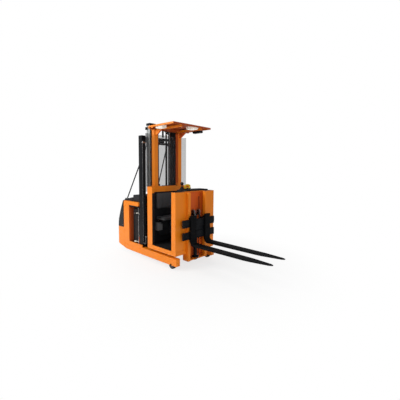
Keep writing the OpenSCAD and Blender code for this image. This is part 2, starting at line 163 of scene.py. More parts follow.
# Dark lining; on the rear pillars' forward and inward faces it is painted shade.
LINING_AND_SHADE = material("dark_lining_and_shade", (0.0095, 0.0102, 0.0125), rough=0.60, spec=0.20, vary=0.12, scale=4.0, grain=800, bump=0.25,
                  depth=0.0004)
WHITE = material("lamp_housing", (0.86, 0.82, 0.73), rough=0.30, vary=0.03, scale=6.0, grain=400, bump=0.05)
LENS = material("lamp_lens", (0.88, 0.88, 0.86), rough=0.22, vary=0.02, scale=10.0, grain=180, bump=0.35, depth=0.001)
PANE = material("clear_sheet", (0.065, 0.067, 0.070), rough=0.14, vary=0.06, scale=1.5, rvary=0.05, grain=30,
                bump=0.03, spec=0.07, alpha=0.30)
PAD = material("seat_cover", (0.060, 0.061, 0.065), rough=0.62, vary=0.10, scale=9.0, grain=620, bump=0.55,
               depth=0.0009)
YELLOW = material("yellow_grip", (0.78, 0.55, 0.02), rough=0.38, vary=0.05, scale=10.0, grain=500, bump=0.12)
GREYB = material("grey_box", (0.16, 0.165, 0.17), rough=0.45, vary=0.08, scale=8.0, grain=700, bump=0.2)
LINK = material("chain_link", (0.030, 0.031, 0.034), rough=0.42, spec=0.35, vary=0.15, scale=14.0, grain=700, bump=0.2)
RED = material("red_knob", (0.50, 0.020, 0.016), rough=0.35, vary=0.06, scale=12.0, grain=500, bump=0.1)


# Warm glow: on the lens it is the lamp's light; on the housing, also used for the battery clips, it is painted light
# that brightens them in shade.
for m, glow in ((WHITE, 0.13), (LENS, 0.22)):
    sh = [n for n in m.node_tree.nodes if n.type == "BSDF_PRINCIPLED"][0]
    sh.inputs["Emission Color"].default_value = (1.0, 0.93, 0.80, 1)
    sh.inputs["Emission Strength"].default_value = glow


# ---------------------------------------------------------------- mesh tools
def settle(obj, body, mats=(), angle=31):
    """Weighted normals, materials and body of a new piece."""
    me = obj.data
    for m in mats:
        me.materials.append(m)
    me.shade_smooth()
    me.set_sharp_from_angle(angle=R(angle))
    scene.collection.objects.link(obj)
    w = obj.modifiers.new("weighted", "WEIGHTED_NORMAL")
    w.keep_sharp = True
    w.weight = 60
    dg = bpy.context.evaluated_depsgraph_get()
    new = bpy.data.meshes.new_from_object(obj.evaluated_get(dg))
    obj.modifiers.clear()
    obj.data = new
    new.name = obj.name
    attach(obj, body)
    return obj


def skin(node, mats, width=0.003, pick=None, drop=None, seg=2, body=None, cut=None):
    """The CAD node's own shape, its sharp edges rounded."""
    src = NODES[node]
    bm = bmesh.new()
    bm.from_mesh(src.data)
    bmesh.ops.remove_doubles(bm, verts=bm.verts, dist=2e-5)
    if drop:
        bad = [f for f in bm.faces if drop(f.calc_center_median() - Vector((X0, 0, 0)))]
        bmesh.ops.delete(bm, geom=bad, context="FACES")
        bmesh.ops.holes_fill(bm, edges=[e for e in bm.edges if e.is_boundary], sides=0)
    bmesh.ops.dissolve_limit(bm, angle_limit=R(0.6), verts=bm.verts, edges=bm.edges, delimit={"NORMAL"})
    bmesh.ops.recalc_face_normals(bm, faces=bm.faces)
    edges = [e for e in bm.edges if len(e.link_faces) == 2 and e.calc_face_angle(0) > R(28)]
    if width and edges:
        bmesh.ops.bevel(bm, geom=edges, offset=width, offset_type="OFFSET", segments=seg, profile=0.5,
                        affect="EDGES", clamp_overlap=True)
    mats = mats if isinstance(mats, (list, tuple)) else [mats]
    if cut:
        bmesh.ops.bisect_plane(bm, geom=bm.verts[:] + bm.edges[:] + bm.faces[:], dist=1e-6, plane_co=(0, 0, cut),
                               plane_no=(0, 0, 1))
    if pick:
        bm.normal_update()
        for f in bm.faces:
            f.material_index = pick(f.calc_center_median() - Vector((X0, 0, 0)), f.normal)
    me = bpy.data.meshes.new(node + "_shell")
    bm.to_mesh(me)
    bm.free()
    obj = bpy.data.objects.new(node + "_shell", me)
    settle(obj, body or src["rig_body"], mats)
    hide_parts(node)
    return obj


AX = {"x": (Vector((0, 1, 0)), Vector((0, 0, 1)), Vector((1, 0, 0))),
      "y": (Vector((0, 0, 1)), Vector((1, 0, 0)), Vector((0, 1, 0))),
      "z": (Vector((1, 0, 0)), Vector((0, 1, 0)), Vector((0, 0, 1)))}


def frame_of(n):
    n = Vector(n).normalized()
    a = Vector((0, 0, 1)) if abs(n.z) < 0.9 else Vector((1, 0, 0))
    u = a.cross(n).normalized()
    return u, n.cross(u), n


class Piece:
    """Mesh of one piece. Places are counted from the cab's front face, in metres."""

    def __init__(self, name, body, mat, slot=None, angle=31):
        self.name, self.body, self.slot, self.angle = name, body, slot, angle
        self.mats = list(mat) if isinstance(mat, (list, tuple)) else [mat]
        self.bm = bmesh.new()
        self.mi = 0

    def add(self, t, recalc=True):
        if recalc:
            bmesh.ops.recalc_face_normals(t, faces=t.faces)
        for f in t.faces:
            f.material_index = self.mi
        me = bpy.data.meshes.new("t")
        t.to_mesh(me)
        t.free()
        self.bm.from_mesh(me)
        bpy.data.meshes.remove(me)

    def box(self, x, y, z, bev=0.002, seg=2):
        t = bmesh.new()
        bmesh.ops.create_cube(t, size=1)
        lo = Vector((min(x), min(y), min(z)))
        hi = Vector((max(x), max(y), max(z)))
        for v in t.verts:
            v.co = Vector([lo[i] + (v.co[i] + 0.5) * (hi[i] - lo[i]) for i in range(3)])
        if bev:
            bmesh.ops.bevel(t, geom=t.edges[:], offset=min(bev, 0.45 * min(hi - lo)), offset_type="OFFSET",
                            segments=seg, profile=0.5, affect="EDGES", clamp_overlap=True)
        self.add(t)

    def prism(self, pts, axis, lo, hi, bev=0.002, seg=2):
        """pts are (x, z) for axis y, (y, z) for x and (x, y) for z."""
        t = bmesh.new()
        def at(p, h):
            return {"y": (p[0], h, p[1]), "x": (h, p[0], p[1]), "z": (p[0], p[1], h)}[axis]
        a = [t.verts.new(at(p, lo)) for p in pts]
        b = [t.verts.new(at(p, hi)) for p in pts]
        t.faces.new(a)
        t.faces.new(b[::-1])
        n = len(pts)
        for i in range(n):
            t.faces.new((a[i], b[i], b[(i + 1) % n], a[(i + 1) % n]))
        bmesh.ops.recalc_face_normals(t, faces=t.faces)
        if bev:
            e = [e for e in t.edges if e.calc_face_angle(0) > R(25)]
            bmesh.ops.bevel(t, geom=e, offset=bev, offset_type="OFFSET", segments=seg, profile=0.5,
                            affect="EDGES", clamp_overlap=True)
        self.add(t)

    def lathe(self, prof, c, n, seg=40, closed=False):
        """prof is (radius, height along n) in order; closed joins its ends."""
        u, v, n = frame_of(n)
        c = Vector(c)
        t = bmesh.new()
        rings = []
        for r, h in prof:
            if r < 1e-6:
                rings.append([t.verts.new(c + n * h)])
            else:
                rings.append([t.verts.new(c + n * h + (u * math.cos(2 * math.pi * k / seg)
                                                       + v * math.sin(2 * math.pi * k / seg)) * r)
                              for k in range(seg)])
        pairs = list(zip(rings, rings[1:])) + ([(rings[-1], rings[0])] if closed else [])
        for a, b in pairs:
            for k in range(seg):
                q = (k + 1) % seg
                if len(a) == 1 and len(b) == 1:
                    continue
                if len(a) == 1:
                    t.faces.new((a[0], b[k], b[q]))
                elif len(b) == 1:
                    t.faces.new((a[k], a[q], b[0]))
                else:
                    t.faces.new((a[k], a[q], b[q], b[k]))
        if not closed:
            for ring in (rings[0], rings[-1]):
                if len(ring) > 1:
                    t.faces.new(ring)
        self.add(t)

    def rod(self, p, q, r, seg=24, bev=0.0015):
        p, q = Vector(p), Vector(q)
        d = (q - p).length
        b = min(bev, r * 0.4, d * 0.3)
        self.lathe([(0, 0), (r - b, 0), (r - b * 0.3, b * 0.3), (r, b), (r, d - b), (r - b * 0.3, d - b * 0.3),
                    (r - b, d), (0, d)], p, q - p, seg)

    def tube(self, pts, r, seg=12, sub=6, rib=None):
        """Round tube along a smooth line through pts. rib gives the radius at each step."""
        P = [Vector(p) for p in pts]
        line = []
        if sub and len(P) > 2:
            E = [P[0] * 2 - P[1]] + P + [P[-1] * 2 - P[-2]]
            for i in range(1, len(E) - 2):
                p0, p1, p2, p3 = E[i - 1:i + 3]
                for k in range(sub):
                    s = k / sub
                    line.append(0.5 * ((2 * p1) + (p2 - p0) * s + (2 * p0 - 5 * p1 + 4 * p2 - p3) * s * s
                                       + (3 * p1 - p0 - 3 * p2 + p3) * s ** 3))
            line.append(P[-1])
        else:
            line = P
        t = bmesh.new()
        d0 = (line[1] - line[0]).normalized()
        u = frame_of(d0)[0]
        rings = []
        for i, c in enumerate(line):
            d = (line[min(i + 1, len(line) - 1)] - line[max(i - 1, 0)]).normalized()
            u = (u - d * u.dot(d)).normalized()
            w = d.cross(u)
            rr = rib(i, len(line)) if rib else r
            rings.append([t.verts.new(c + (u * math.cos(2 * math.pi * k / seg)
                                           + w * math.sin(2 * math.pi * k / seg)) * rr) for k in range(seg)])
        for a, b in zip(rings, rings[1:]):
            for k in range(seg):
                t.faces.new((a[k], a[(k + 1) % seg], b[(k + 1) % seg], b[k]))
        t.faces.new(rings[0])
        t.faces.new(rings[-1])
        self.add(t)

    def bolt(self, c, n, r=0.008, h=0.006, washer=True):
        c = Vector(c)
        n = Vector(n).normalized()
        if washer:
            self.lathe([(0, 0), (r * 1.45, 0), (r * 1.5, 0.0004), (r * 1.45, 0.0013), (0, 0.0013)], c, n, 20)
            c = c + n * 0.0012
        self.lathe([(r, 0), (r, h * 0.72), (r * 0.86, h), (0, h)], c, n, 6)

    def screw(self, c, n, r=0.005):
        """Round-headed socket screw."""
        self.lathe([(r, 0), (r, 0.0012), (r * 0.8, 0.0026), (r * 0.48, 0.0030), (r * 0.46, 0.0012), (0, 0.0012)],
                   Vector(c), n, 16)

    def done(self):
        me = bpy.data.meshes.new(self.name)
        bmesh.ops.translate(self.bm, verts=self.bm.verts, vec=Vector((X0, 0, 0)))
        self.bm.to_mesh(me)
        self.bm.free()
        obj = bpy.data.objects.new(self.name, me)
        return settle(obj, self.body, self.mats, self.angle)


def both(f):
    for s in (-1, 1):
        f(s)


def yy(s, a, b):
    return (s * a, s * b) if s > 0 else (s * b, s * a)


# ---------------------------------------------------------------- shells of the CAD nodes
# The whole chassis frame is in the dark orange: painted shade.
skin("chassis_frame", [ORANGE, DARK_SHADE_ORANGE], 0.0025, pick=lambda c, n: 1)
# Forward-facing faces of the rear body in the redder orange: painted shade.
skin("rear_body", [ORANGE, SHADE_ORANGE], 0.003, pick=lambda c, n: 1 if n.x > 0.5 else 0)
# Forward faces at the rear, high undersides and inward faces of the side frames in the redder orange: painted shade.
for n in ("side_frame_right", "side_frame_left"):
    skin(n, [ORANGE, SHADE_ORANGE], 0.004, seg=3,
         pick=lambda c, n: 1 if (n.x > 0.5 and c.x < -1.2) or (n.z < -0.5 and c.z > 0.3) or n.y * c.y < -0.2 else 0)
for n, w in (("load_arm_right", 0.005), ("load_arm_left", 0.005), ("cab_floor", 0.004),
             ("rear_beam", 0.006)):
    skin(n, ORANGE, w, seg=3 if w > 0.0035 else 2)
# the pillars' forward and inward faces below 1.2 m take the dark lining: painted shade at the edges of the doorways
for n in ("rear_pillar_right", "rear_pillar_left"):
    skin(n, [ORANGE, LINING_AND_SHADE], 0.006, seg=3, cut=1.2,
         pick=lambda c, n: 1 if c.z < 1.2 and (n.x > 0.8 or n.y * c.y < -0.3) else 0)
# Downward and inward faces of the guard posts in the redder orange: painted shade.
skin("guard_posts", [ORANGE, SHADE_ORANGE], 0.006, seg=3,
     pick=lambda c, n: 1 if n.z < -0.3 or n.y * c.y < -0.1 else 0)
# Back faces of the front recess in the redder orange: painted shade.
skin("front_wall", [ORANGE, SHADE_ORANGE], 0.006, seg=3,
     pick=lambda c, n: 1 if n.x > 0.5 and c.x < -0.05 and abs(c.y) < 0.23 else 0)
# Underside and front faces of the roof in the dark orange: painted shade.
skin("roof", [ORANGE, DARK_SHADE_ORANGE], 0.0025, pick=lambda c, n: 1 if n.z < -0.5 or n.x > 0.5 else 0)
skin("mast_bracket", [ORANGE, STEEL], 0.0025,
     pick=lambda c, n: 1 if abs(c.y) > 0.1765 else 0)
# Recessed forward-facing faces of the fork mast in the redder orange: painted shade.
skin("fork_mast", [ORANGE, SHADE_ORANGE], 0.003, pick=lambda c, n: 1 if n.x > 0.5 and c.x < -0.045 else 0)
for n, w in (("outer_rail_right", 0.003), ("outer_rail_left", 0.003), ("outer_crossmembers", 0.0025),
             ("lift_cylinder", 0.002), ("stay_right", 0.0015), ("stay_left", 0.0015), ("inner_crossmembers", 0.0025),
             ("fork_cylinder", 0.0015)):
    skin(n, BLACK, w)
for n in ("inner_rail_right", "inner_rail_left"):
    skin(n, [BLACK, STEEL, TRACK], 0.003,
         pick=lambda c, n: 1 if abs(c.y) > 0.3455 else (2 if abs(n.y) > 0.9 and 0.3042 < abs(c.y) < 0.3058 else 0))
skin("mast_head", [BLACK, CHROME], 0.002,
     pick=lambda c, n: 1 if c.z < 2.3715 and math.hypot(c.x + 0.905, abs(c.y) - 0.1) < 0.0128 else 0)
skin("fork_carriage", [BLACK, STEEL], 0.003, pick=lambda c, n: 1 if abs(c.y) > 0.1675 and c.x < 0.05 else 0)


def strand(c):
    return 0.0515 < abs(c.y) < 0.0685 and (c.x > 0.0295 or c.x < -0.0395)


skin("fork_crosshead", [BLACK, CHROME], 0.0015, drop=strand,
     pick=lambda c, n: 1 if c.z < 0.8475 and math.hypot(c.x + 0.005, c.y) < 0.0185 else 0)
for n in ("fork_right", "fork_left"):
    skin(n, FORKB, 0.003, seg=3)
skin("rear_hood", HOOD, 0.003)
skin("battery_lid", HOOD, 0.005, seg=3)
skin("drive_unit", CAST, 0.003)
skin("rear_wall", LINING_AND_SHADE, 0.003)
skin("console", PLASTIC, 0.008, seg=3)
skin("mast_screen", PANE, 0.0015)

# ---------------------------------------------------------------- chassis
def bolts_chassis():
    p = Piece("chassis_bolts", "chassis", [ORANGE, STEEL, BLACK], "orange")
    for s in (-1, 1):
        n = (0, s, 0)
        # axle cap of the load wheel
        p.mi = 2
        p.lathe([(0, 0), (0.017, 0), (0.0175, 0.001), (0.016, 0.0028), (0.007, 0.0028), (0.006, 0.0016), (0, 0.0016)],
                (-0.11, s * 0.452, 0.075), n, 28)
        p.mi = 0
        for x in (-0.045, -0.175):
            p.screw((x, s * 0.452, 0.118), n, 0.006)
        for x, z in ((-1.505, 0.16), (-1.505, 0.42), (-1.505, 0.66), (-1.505, 0.90), (-1.40, 0.145), (-1.00, 0.145),
                     (-1.20, 0.145)):
            p.bolt((x, s * 0.452, z), n, 0.008, 0.006)
        for x in (-1.44, -1.24, -1.08):
            p.screw((x, s * 0.452, 0.965), n, 0.0055)
        # outer crossmembers on the rails
        p.mi = 2
        for z in (0.16, 0.20, 1.022, 1.048, 2.172, 2.194):
            p.bolt((-1.035, s * 0.372, z), (-1, 0, 0), 0.007, 0.005)
        # foot of the mast
        for z in (0.20, 0.30):
            p.bolt((-1.06, s * 0.36, z), (-1, 0, 0), 0.010, 0.007)
        # foot plate and upper eye of the stay
        p.mi = 1
        for x in (-1.609, -1.561):
            for y in (0.333, 0.359):
                p.bolt((x, s * y, 1.036), (0, 0, 1), 0.006, 0.005)
        for z in (2.078, 2.111):
            p.bolt((-1.052, s * 0.222, z), (0, -s, 0), 0.006, 0.005)
        # clamps of the lift cylinders, valve block
        for x in (-0.975, -0.945):
            p.bolt((x, s * 0.1, 2.105), (0, 0, 1), 0.006, 0.006)
        p.bolt((-0.945, s * 0.050, 2.135), (0, s, 0), 0.006, 0.005)
        p.bolt((-0.915, s * 0.028, 2.140), (1, 0, 0), 0.006, 0.005)
        p.lathe([(0, 0), (0.009, 0), (0.009, 0.010), (0.006, 0.013), (0, 0.013)], (-0.915, s * 0.028, 2.092), (1, 0, 0), 20)
    p.done()


bolts_chassis()


def trim_orange():
    p = Piece("battery_opening_rims", "chassis", ORANGE, "orange")
    for s in (-1, 1):
        # pressed rim round the battery opening and along the skirt
        y = yy(s, 0.4515, 0.4545)
        p.box((-1.362, -1.350), y, (0.228, 0.942), 0.0012)
        p.box((-1.362, -0.945), y, (0.216, 0.228), 0.0012)
        p.box((-1.362, -1.045), y, (0.930, 0.942), 0.0012)
        # welded gussets behind the pillar
        p.prism([(-1.345, 0.140), (-1.345, 0.215), (-1.27, 0.140)], "y", s * 0.405, s * 0.413, 0.001)
        # cover plate at the tip of the arm
        p.box((0.0235, 0.0275), yy(s, 0.385, 0.440), (0.078, 0.176), 0.0015)
    p.done()


trim_orange()


def black_chassis():
    p = Piece("chassis_rubber", "chassis", RUBBER, "black_plastic")
    for s in (-1, 1):
        # sealing strip below the top rail
        p.box((-1.345, -1.040), yy(s, 0.424, 0.448), (0.906, 0.929), 0.003)
        for x in (-1.32, -1.255, -1.19, -1.125, -1.06):
            p.box((x - 0.006, x + 0.006), yy(s, 0.426, 0.4515), (0.898, 0.910), 0.002)
        # strip along the foot of the battery opening
        p.box((-1.340, -1.065), yy(s, 0.405, 0.428), (0.205, 0.222), 0.003)
        # lip between the steel body and the hood
        p.box((-1.560, -1.548), yy(s, 0.4525, 0.4555), (0.475, 0.985), 0.001)
    p.done()


black_chassis()


def hood_details():
    p = Piece("hood_details", "chassis", [HOOD, PLASTIC, STEEL], "hood_grey")
    rows = [(0.472, 0), (0.564, 5), (0.680, 39), (0.797, 84), (0.900, 132), (1.0, 183)]
    def xr(z):
        for (a, p0), (b, p1) in zip(rows, rows[1:]):
            if a <= z <= b:
                return -1.817 + (p0 + (p1 - p0) * (z - a) / (b - a)) / 1000
        return -1.634
    def outline(z, out, r=0.09):
        x = xr(z) - out
        h = 0.452 + out
        r = r + out
        pts = [(-1.552, -h)]
        pts += [(x + r + r * math.sin(-a), -h + r - r * math.cos(a)) for a in [R(k * 9) for k in range(0, 11)]]
        pts += [(x + r - r * math.sin(a), h - r + r * math.cos(a)) for a in [R(90 - k * 9) for k in range(0, 11)]]
        pts += [(-1.552, h)]
        return pts
    # raised band round the hood, low down
    def band(z0, z1, out):
        t = bmesh.new()
        rr = []
        for z, o in ((z0 - 0.004, -0.001), (z0, out), (z1, out), (z1 + 0.004, -0.001)):
            rr.append([t.verts.new((a, b, z)) for a, b in outline(z, o)])
        for a, b in zip(rr, rr[1:]):
            for k in range(len(a) - 1):
                t.faces.new((a[k], a[k + 1], b[k + 1], b[k]))
        p.add(t)
    band(0.604, 0.632, 0.0035)
    band(0.474, 0.486, 0.0020)
    # louvres in the rear face
    p.mi = 1
    for k in range(7):
        z = 0.705 + k * 0.026
        x = xr(z + 0.006)
        p.prism([(x + 0.006, z), (x - 0.004, z + 0.003), (x - 0.001, z + 0.014), (x + 0.006, z + 0.014)],
                "y", -0.20, 0.20, 0.001)
    # grips in the upper edge, deck seams
    for s in (-1, 1):
        p.box((-1.552, -1.3125), yy(s, 0.3885, 0.3915), (0.965, 0.9995), 0.001)
    p.mi = 2
    for s in (-1, 1):
        for x, z in ((-1.578, 0.52), (-1.578, 0.76), (-1.578, 0.955)):
            p.screw((x, s * 0.4525, z), (0, s, 0), 0.006)
        for x in (-1.60, -1.42):
            p.screw((x, s * 0.36, 1.0145 if x < -1.5 else 1.0565), (0, 0, 1), 0.006)
    p.done()
    # key lock and charge lamp on the deck
    q = Piece("deck_fittings", "chassis", [PLASTIC, STEEL], "black_plastic")
    q.lathe([(0, 0), (0.022, 0), (0.022, 0.006), (0.019, 0.009), (0.010, 0.009), (0, 0.008)], (-1.45, 0.0, 1.046), (-0.2, 0, 1), 32)
    q.prism([(-1.54, -0.07), (-1.54, 0.07), (-1.49, 0.06), (-1.49, -0.06)], "z", 1.020, 1.0345, 0.003)
    q.done()
    p = Piece("lid_details", "lid", [HOOD, PLASTIC], "hood_grey")
    for y in (-0.25, 0.0, 0.25):
        p.box((-1.275, -1.125), (y - 0.035, y + 0.035), (1.1235, 1.1285), 0.0022, 3)
    p.mi = 1
    p.box((-1.0815, -1.0735), (-0.09, 0.09), (1.045, 1.075), 0.003)
    for s in (-1, 1):
        p.box((-1.29, -1.09), yy(s, 0.3835, 0.3875), (1.003, 1.016), 0.001)
    p.done()


hood_details()


def battery():
    p = Piece("battery_case", "chassis", [TROUGH, STEEL, PLASTIC, RED], "battery_case")
    x0, x1, z0, z1 = -1.330, -1.070, 0.140, 0.845
    p.box((x0 + 0.004, x1 - 0.004), (-0.366, 0.366), (z0, z1), 0.006, 3)
    # folded rim, ribs and corner angles
    p.box((x0, x1), (-0.370, 0.370), (z1 - 0.035, z1 + 0.004), 0.003)
    p.box((x0, x1), (-0.370, 0.370), (z0, z0 + 0.03), 0.003)
    for s in (-1, 1):
        for x in (x0 + 0.012, -1.20, x1 - 0.012):
            p.box((x - 0.012, x + 0.012), yy(s, 0.364, 0.370), (z0 + 0.02, z1 - 0.02), 0.002)
        for x in (-1.285, -1.115):
            p.box((x - 0.024, x + 0.024), yy(s, 0.3655, 0.3745), (0.735, 0.80), 0.003)
    p.mi = 1
    for s in (-1, 1):
        for x in (-1.285, -1.115):
            p.lathe([(0.010, 0), (0.016, 0), (0.017, 0.001), (0.016, 0.0022), (0.010, 0.0022)], (x, s * 0.3745, 0.768),
                    (0, s, 0), 28, closed=True)
    # cells with caps
    p.mi = 2
    for i in range(3):
        for j in range(8):
            x = x0 + 0.045 + i * 0.085
            y = -0.315 + j * 0.09
            p.box((x - 0.038, x + 0.038), (y - 0.041, y + 0.041), (z1 - 0.004, z1 + 0.010), 0.003)
            p.lathe([(0, 0), (0.010, 0), (0.010, 0.004), (0.007, 0.0055), (0, 0.0055)], (x, y, z1 + 0.009), (0, 0, 1), 14)
    p.mi = 3
    p.box((-1.095, -1.075), (-0.372, -0.30), (0.848, 0.858), 0.003)
    o = p.done()
    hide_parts("battery")


battery()


def rest_chain():
    """Taut steel bead chain with its eyes, beside the battery."""
    for s in (-1,):
        p = Piece("battery_bead_chain", "chassis", STEEL, "chain_steel")
        x, y = -1.055, s * 0.436
        z = 0.262
        while z < 0.892:
            p.lathe([(0, -0.0048), (0.0030, -0.0040), (0.0048, -0.0012), (0.0048, 0.0012), (0.0030, 0.0040), (0, 0.0048)],
                    (x, y, z), (0, 0, 1), 10)
            z += 0.0125
        p.rod((x, y, 0.25), (x, y, 0.90), 0.0012, 8)
        for zz in (0.25, 0.90):
            p.box((x - 0.011, x + 0.011), (y - 0.008, y + 0.008), (zz - 0.007, zz + 0.007), 0.003)
        p.done()
        q = Piece("battery_clips", "chassis", WHITE, "lamp_white")
        q.box((-1.104, -1.086), (s * 0.452 - 0.0025, s * 0.452 + 0.02), (0.793, 0.809), 0.003)
        q.box((-1.172, -1.146), (s * 0.452 - 0.0025, s * 0.452 + 0.02), (0.252, 0.272), 0.003)
        q.box((-1.100, -1.052), (-0.4305, -0.427), (0.796, 0.806), 0.001)
        q.box((-1.160, -1.052), (-0.4305, -0.427), (0.258, 0.266), 0.001)
        q.done()


rest_chain()


# ---------------------------------------------------------------- wheels
def wheels():
    yc = 0.4125
    for s, side in ((-1, "right"), (1, "left")):
        p = Piece("load_wheel_" + side + "_tyre", "load_wheel_" + side, [TYRE, CAST], "load_tyre")
        c = (-0.11, s * yc, 0.07)
        w = 0.0245
        p.lathe([(0.050, -w + 0.002), (0.0640, -w), (0.0680, -w + 0.0015), (0.0697, -w + 0.005), (0.07, 0), (0.0697, w - 0.005),
                 (0.0680, w - 0.0015), (0.0640, w), (0.050, w - 0.002)], c, (0, 1, 0), 64, closed=True)
        p.mi = 1
        p.lathe([(0.01205, -w + 0.001), (0.020, -w + 0.001), (0.022, -w + 0.004), (0.030, -w + 0.006), (0.046, -w + 0.003),
                 (0.051, -w + 0.0015), (0.051, w - 0.0015), (0.046, w - 0.003), (0.030, w - 0.006), (0.022, w - 0.004),
                 (0.020, w - 0.001), (0.01205, w - 0.001)], c, (0, 1, 0), 48, closed=True)
        o = p.done()
        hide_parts("load_wheel_" + side)
    p = Piece("drive_wheel_tyre", "drive_wheel", [TYRE, CAST, STEEL], "drive_tyre")
    c = (-1.48, 0, 0.115)
    w = 0.04
    prof = [(0.085, -w + 0.004), (0.105, -w), (0.111, -w + 0.002), (0.1145, -w + 0.008)]
    for k in range(-2, 3):
        prof += [(0.115, k * 0.012 - 0.004), (0.115, k * 0.012 + 0.003), (0.1125, k * 0.012 + 0.0045), (0.1125, k * 0.012 + 0.0065)]
    prof = prof[:-2] + [(0.1145, w - 0.008), (0.111, w - 0.002), (0.105, w), (0.085, w - 0.004)]
    p.lathe(prof, c, (0, 1, 0), 72, closed=True)
    p.mi = 1
    p.lathe([(0.02005, -w + 0.004), (0.034, -w + 0.004), (0.040, -w + 0.012), (0.070, -w + 0.014), (0.080, -w + 0.006),
             (0.086, -w + 0.005), (0.086, w - 0.005), (0.080, w - 0.006), (0.070, w - 0.014), (0.040, w - 0.012),
             (0.034, w - 0.004), (0.02005, w - 0.004)], c, (0, 1, 0), 56, closed=True)
    p.mi = 2
    for k in range(6):
        a = 2 * math.pi * k / 6
        for s in (-1, 1):
            p.bolt((c[0] + 0.055 * math.cos(a), s * (w - 0.0135), c[2] + 0.055 * math.sin(a)), (0, s, 0), 0.006, 0.005)
    o = p.done()
    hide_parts("drive_wheel")


wheels()


# ---------------------------------------------------------------- chains
def leaf_chain(p, pts, y, half, pitch=0.0159, h=0.0062, plates=5, t=0.0019, along=None):
    """Leaf chain along straight or bent points (x, z) at y, half its width. Link plates overlap by turns."""
    n = len(pts)
    for i in range(n - 1):
        a, b = Vector((pts[i][0], y, pts[i][1])), Vector((pts[i + 1][0], y, pts[i + 1][1]))
        d = (b - a).normalized()
        side = Vector((0, 1, 0))
        up = side.cross(d)
        m = (a + b) / 2
        L = (b - a).length / 2
        for k in range(plates * 2 + 1):
            if (k + i) % 2:
                continue
            yk = -half + (k + 0.5) * (2 * half) / (plates * 2 + 1)
            tt = half / (plates * 2 + 1) * 0.86
            tb = bmesh.new()
            ring = []
            for sgn in (1, -1):
                for q in range(5):
                    ang = R(-90 + q * 45) if sgn > 0 else R(90 + q * 45)
                    ring.append(m + d * (sgn * L + math.cos(ang) * h) + up * math.sin(ang) * h)
            va = [tb.verts.new(c + side * (yk - tt)) for c in ring]
            vb = [tb.verts.new(c + side * (yk + tt)) for c in ring]
            tb.faces.new(va)
            tb.faces.new(vb[::-1])
            for q in range(len(ring)):
                w = (q + 1) % len(ring)
                tb.faces.new((va[q], vb[q], vb[w], va[w]))
            p.add(tb)
        p.lathe([(0, 0), (0.0026, 0), (0.0026, 2 * half + 0.0016), (0, 2 * half + 0.0016)],
                a - side * (half + 0.0008), side, 8)


def arc(cx, cz, r, a0, a1, n):
    return [(cx + r * math.cos(R(a0 + (a1 - a0) * k / n)), cz + r * math.sin(R(a0 + (a1 - a0) * k / n)))
            for k in range(n + 1)]


def mast_chains():
    z0, z1 = 0.8545, 2.305
    for s, side in ((-1, "right"), (1, "left")):
        y = s * 0.140
        p = Piece("mast_chain_" + side, "inner_mast", STEEL, "chain_steel")
        n = 92
        leaf_chain(p, [(-0.8575, z0 + (z1 - z0) * k / n) for k in range(n + 1)], y, 0.0085)
        o = p.done()
        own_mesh(o)
        if s < 0:
            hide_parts("lift_chains")
        p = Piece("mast_chain_bend_" + side, "inner_mast", STEEL, "chain_steel")
        leaf_chain(p, arc(-0.905, 2.305, 0.0475, 0, 180, 9), y, 0.0085)
        leaf_chain(p, [(-0.9525, 2.305 - k * 0.0156) for k in range(8)], y, 0.0085)
        # grooved sheave
        p.lathe([(0.01005, -0.0120), (0.016, -0.0120), (0.018, -0.0095), (0.034, -0.0095), (0.0400, -0.0120),
                 (0.0440, -0.0118), (0.0440, -0.0096), (0.0395, -0.0092), (0.0395, 0.0092), (0.0440, 0.0096),
                 (0.0440, 0.0118), (0.0400, 0.0120), (0.034, 0.0095), (0.018, 0.0095), (0.016, 0.0120), (0.01005, 0.0120)],
                (-0.905, y, 2.305), (0, 1, 0), 48, closed=True)
        for yk in (-0.0245, 0.0245):
            p.lathe([(0, 0), (0.013, 0), (0.013, 0.003), (0.010, 0.0045), (0, 0.0045)],
                    (-0.905, y + yk, 2.305), (0, 1 if yk > 0 else -1, 0), 24)
        o = p.done()
        if s < 0:
            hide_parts("head_sheaves")
        # end of the chain: threaded anchor on the cab's bracket
        p = Piece("chain_anchor_" + side, "cab", STEEL, "chain_steel")
        p.box((-0.8645, -0.8505), (y - 0.0075, y + 0.0075), (0.8352, 0.848), 0.002)
        p.rod((-0.8575, y, 0.770), (-0.8575, y, 0.815), 0.0065, 20)
        p.bolt((-0.8575, y, 0.815), (0, 0, -1), 0.0105, 0.010)
        p.bolt((-0.8575, y, 0.802), (0, 0, -1), 0.0105, 0.007, washer=False)
        p.done()
        # end of the chain: threaded anchor on the mast's crossmember
        p = Piece("chain_tail_" + side, "chassis", STEEL, "chain_steel")
        p.rod((-0.9525, y, 2.120), (-0.9525, y, 2.186), 0.0060, 20)
        p.bolt((-0.9525, y, 2.160), (0, 0, -1), 0.0100, 0.009)
        p.done()


mast_chains()


